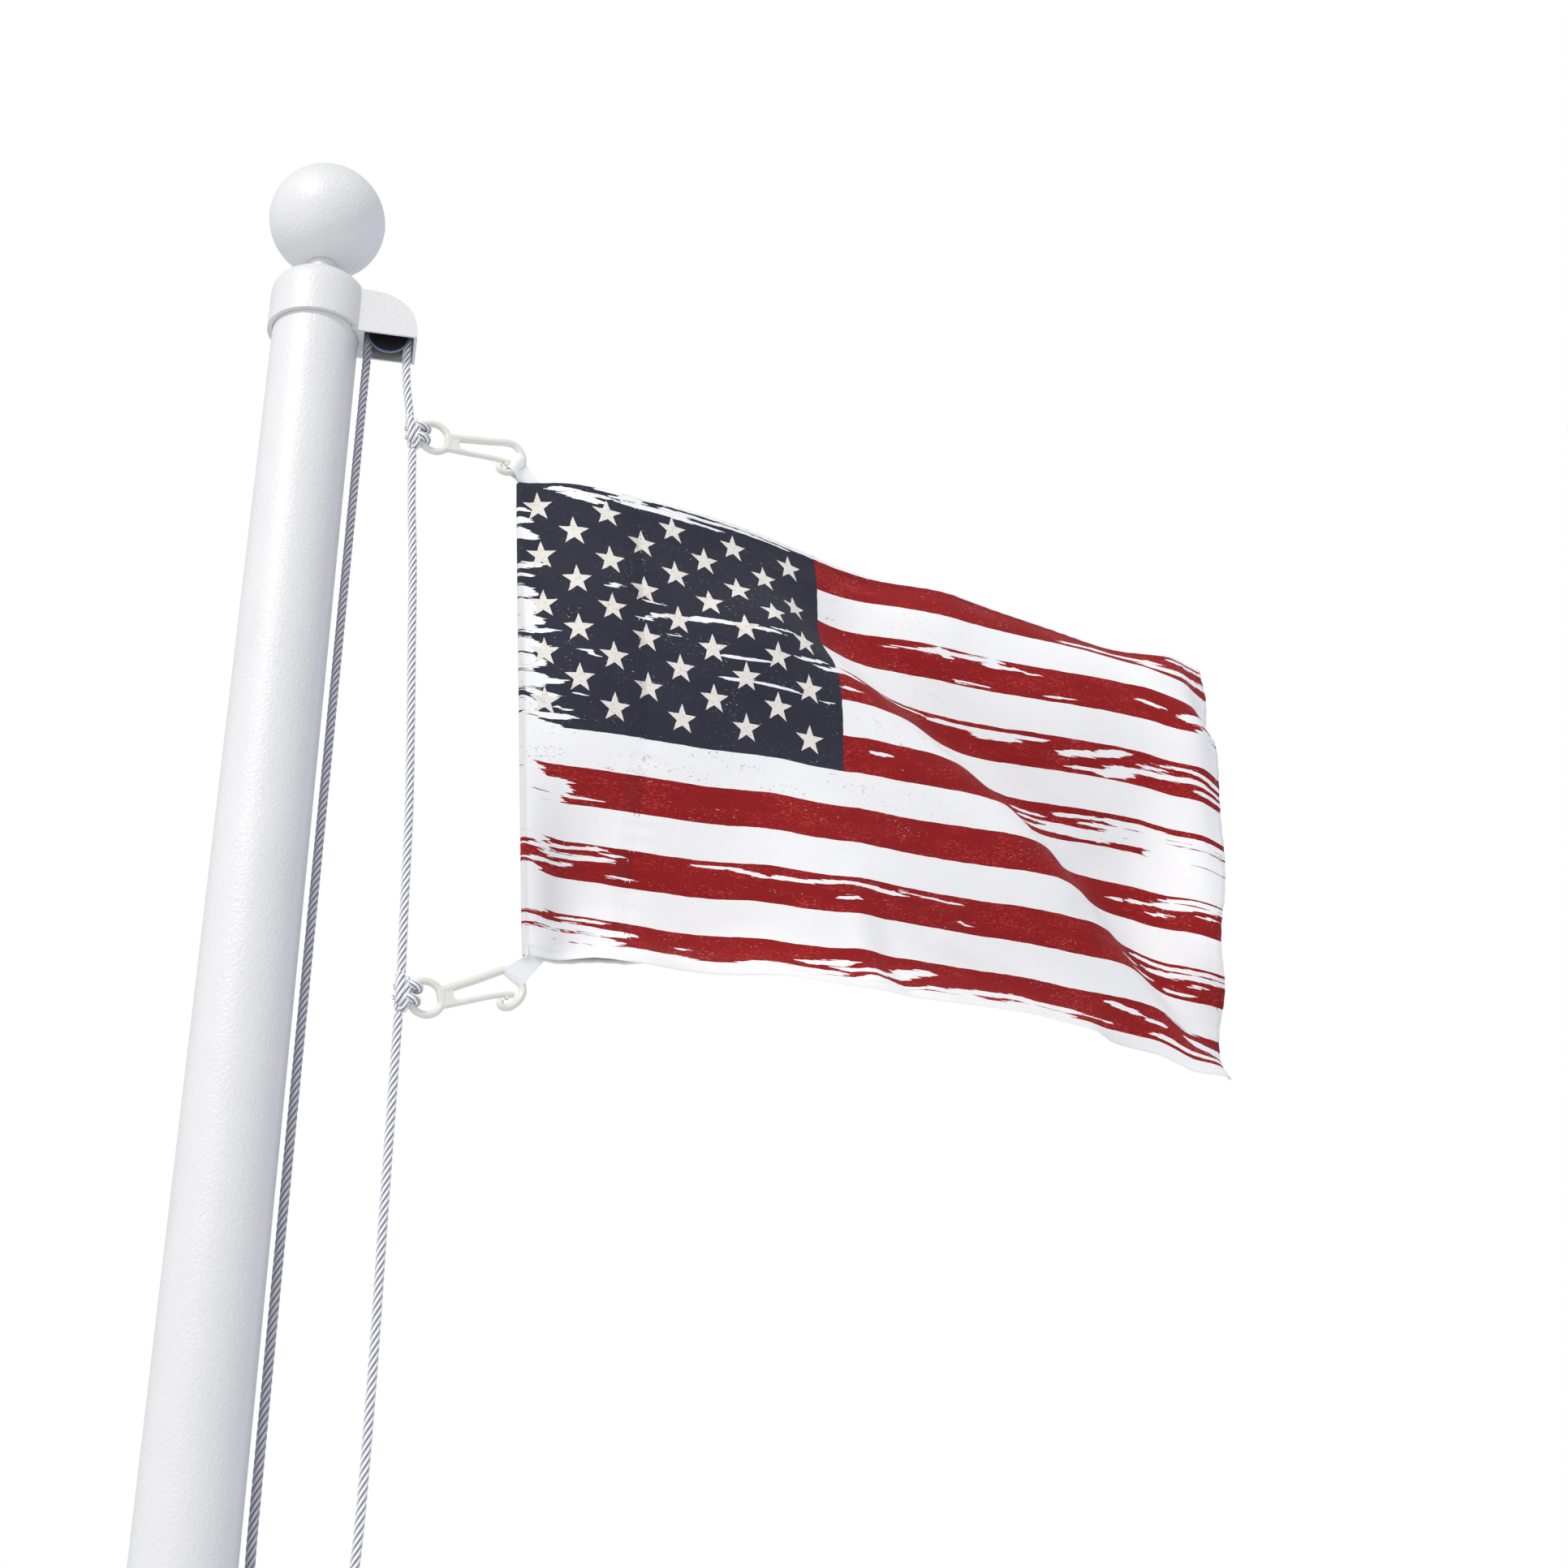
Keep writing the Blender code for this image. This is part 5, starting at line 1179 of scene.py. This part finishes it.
def add_stitching():
    """All stitches as small closed bars that lie on the front and the back of the cloth."""
    rows = [((4, 6.4), (597, 6.4)), ((4, HOIST - 6.4), (597, HOIST - 6.4)),
            ((FLY - 5.4, 4), (FLY - 5.4, HOIST - 4)),
            ((SLEEVE - 1.2, 2), (SLEEVE - 1.2, HOIST - 2)),
            ((SLEEVE - 4.4, 2), (SLEEVE - 4.4, HOIST - 2))]
    fine_along, fine_down = np.arange(0, FLY + 0.1, 3.0), np.arange(0, HOIST + 0.1, 2.5)
    place, normal = cloth_surface(fine_along, fine_down)

    def sample(values, along, down):
        """The value at a place on the cloth, between the grid's own."""
        a = np.clip(along / 3.0, 0, len(fine_along) - 1.001)
        d = np.clip(down / 2.5, 0, len(fine_down) - 1.001)
        i, j = int(a), int(d)
        s, t = a - i, d - j
        return (values[i, j] * (1 - s) * (1 - t) + values[i + 1, j] * s * (1 - t)
                + values[i, j + 1] * (1 - s) * t + values[i + 1, j + 1] * s * t)

    verts, faces, cuts = [], [], []
    ring = [(0.0, 0.0), (0.22, 1.0), (0.78, 1.0), (1.0, 0.0)]
    for start, stop in rows:
        start, stop = np.array(start, float), np.array(stop, float)
        length = np.linalg.norm(stop - start)
        for k in range(int(length / STITCH_GAP)):
            first = start + (stop - start) * (k * STITCH_GAP / length)
            last = first + (stop - start) * (STITCH / length)
            for side, lift in ((1, CLOTH / 2 + 0.05), (-1, LAYER + CLOTH / 2 + 0.05)):
                up = sample(normal, *first)
                low = sample(place, *first) + up * side * lift
                high = sample(place, *last) + up * side * lift
                way = (high - low) / np.linalg.norm(high - low)
                across = np.cross(way, up)
                base = len(verts)
                for share, size in ring:
                    middle = low + (high - low) * share
                    if size == 0:
                        verts.append(middle - up * side * 0.12)
                        cuts.append(first)
                        continue
                    for angle in np.arange(5) * math.tau / 5:
                        spoke = across * math.cos(angle) + up * math.sin(angle)
                        verts.append(middle + spoke * THREAD_RADIUS)
                        cuts.append(first)
                for j in range(5):
                    after = (j + 1) % 5
                    faces.append((base, base + 1 + after, base + 1 + j))
                    faces.append((base + 1 + j, base + 1 + after, base + 6 + after, base + 6 + j))
                    faces.append((base + 6 + j, base + 6 + after, base + 11))
    piece = add_piece("hem_stitching", np.array(verts) / 1000, faces, flag_material)
    cuts = np.array(cuts)
    add_flat_coordinates(piece.data, "cut", cuts / 1000)
    store_value(piece.data, "wear", wear_at(cuts[:, 0], cuts[:, 1]))
    return piece


stitching = add_stitching()


# Webbing tabs
# A loop of thin white webbing, 14 mm wide, goes through each clip's hook. Its two layers lie on each
# other below the hook and are sewn into the end of the sleeve.
TabEnds = namedtuple("TabEnds", "nose_1 nose_2 mouth_1 mouth_2 end_1 end_2")
TABS = {
    "upper": TabEnds((55.6, -7.0), (63.0, 7.6), (1.2, 0), (16.6, 0), (4, 13), (19, 13)),
    "lower": TabEnds((54.4, 13.4), (65.8, 1.6), (1.2, 355), (18.4, 355), (4, 342), (19, 342)),
}
WEBBING = 0.7
HOOK_ROOM = 11.0
TAB_COLUMNS = 15
PAST_BEND = (12.0, 16.0)
LOOP_SHAPE = ((0.0, 0.0), (0.35, 1.2), (1.3, 2.2), (2.6, 2.85), (4.2, 3.1), (6.0, 2.9), (8.5, 2.0),
              (10.6, 1.3), (12.2, 0.95), (13.6, 0.75), (15.0, 0.6), (16.6, 0.5))


def webbing_finish():
    """Flat white webbing with a fine rib across it."""
    made = new_material("white_webbing", (0.82, 0.82, 0.83), 0.78, sheen=0.2)
    tree = made.node_tree
    place = place_of(tree)
    split = tree.nodes.new("ShaderNodeSeparateXYZ")
    tree.links.new(place, split.inputs[0])
    rib = calc(tree, "SINE", calc(tree, "MULTIPLY", calc(tree, "ADD", split.outputs[2], calc(
        tree, "MULTIPLY", split.outputs[0], 0.5)), math.tau / 0.0011))
    tone = calc(tree, "MULTIPLY_ADD", rib, 0.25, cloudy(tree, place, 500, 2))
    paint_with(made, blend_colour(tree, tone, (0.84, 0.84, 0.85), (0.90, 0.90, 0.90)))
    raise_surface(made, calc(tree, "ADD", rib, cloudy(tree, place, 1500, 2)), 0.00008)
    return made


webbing_material = webbing_finish()


def sleeve_middle(along, down):
    """A place midway between the sleeve's two layers, past the bend of its hoist edge, and its facing."""
    places, normals = cloth_surface(np.array(PAST_BEND), np.array([down]))
    (near, far), facing = places[:, 0], normals[0, 0]
    ahead = (far - near) * (along - PAST_BEND[0]) / (PAST_BEND[1] - PAST_BEND[0])
    return near - facing * SLEEVE_ROLL + ahead, facing


def add_tab(name):
    """One loop of webbing, from inside the sleeve's end round the clip's hook and back."""
    tab, clip = TABS[name], CLIPS[name]
    matrix = in_plane(clip.along, clip.height, clip.clip_tilt)
    out = np.array((math.sin(PLANE_ANGLE), -math.cos(PLANE_ANGLE), 0))
    shares = np.linspace(0, 1, TAB_COLUMNS)
    front, back = [], []
    for share in shares:
        x, z = np.array(tab.nose_1) * (1 - share) + np.array(tab.nose_2) * share
        nose = np.array(matrix @ Vector((x / 1000, 0, z / 1000))) * 1000
        sewn = []
        for first, last in ((tab.mouth_1, tab.mouth_2), (tab.end_1, tab.end_2)):
            spot = np.array(first, float) * (1 - share) + np.array(last, float) * share
            sewn.append(sleeve_middle(*spot))
        (mouth, mouth_normal), (end, end_normal) = sewn
        way = mouth - nose
        rise = way @ out
        way = way - rise * out
        length = np.linalg.norm(way)
        way /= length
        column_front, column_back = [], []
        for distance, half_gap in LOOP_SHAPE:
            part = min(max((distance - HOOK_ROOM) / (length - HOOK_ROOM), 0), 1)
            part = part * part * (3 - 2 * part)
            facing = out * (1 - part) + mouth_normal * part
            facing /= np.linalg.norm(facing)
            middle = nose + way * distance + out * (rise * part)
            column_front.append(middle + facing * half_gap)
            column_back.append(middle - facing * half_gap)
        for place, normal in ((mouth, mouth_normal), (end, end_normal)):
            column_front.append(place + normal * 0.4)
            column_back.append(place - normal * 0.4)
        front.append(column_front)
        back.append(column_back)
    strip = np.concatenate([np.array(back)[:, ::-1], np.array(front)[:, 1:]], axis=1)
    count_s, count_r = strip.shape[:2]
    facing = np.cross(np.gradient(strip, axis=1), np.gradient(strip, axis=0))
    facing /= np.maximum(np.linalg.norm(facing, axis=-1, keepdims=True), 1e-9)
    size = count_s * count_r
    sides = [strip + facing * WEBBING / 2, strip - facing * WEBBING / 2]
    verts = np.concatenate([side.reshape(-1, 3) for side in sides])
    index = np.arange(size).reshape(count_s, count_r)
    quads = np.stack([index[:-1, :-1], index[1:, :-1], index[1:, 1:], index[:-1, 1:]], axis=-1).reshape(-1, 4)
    rim = [*index[0, :], *index[1:, -1], *index[-1, -2::-1], *index[-2:0:-1, 0]]
    faces = [tuple(q[::-1]) for q in quads] + [tuple(size + q) for q in quads]
    faces += [(b, a, a + size, b + size) for a, b in zip(rim, rim[1:] + rim[:1])]
    piece = add_piece("webbing_tab_" + name, verts / 1000, [tuple(int(v) for v in face) for face in faces],
                      webbing_material, 50)
    face_outwards(piece.data)
    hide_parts("tab_" + name)
    return piece


tabs = [add_tab(name) for name in TABS]
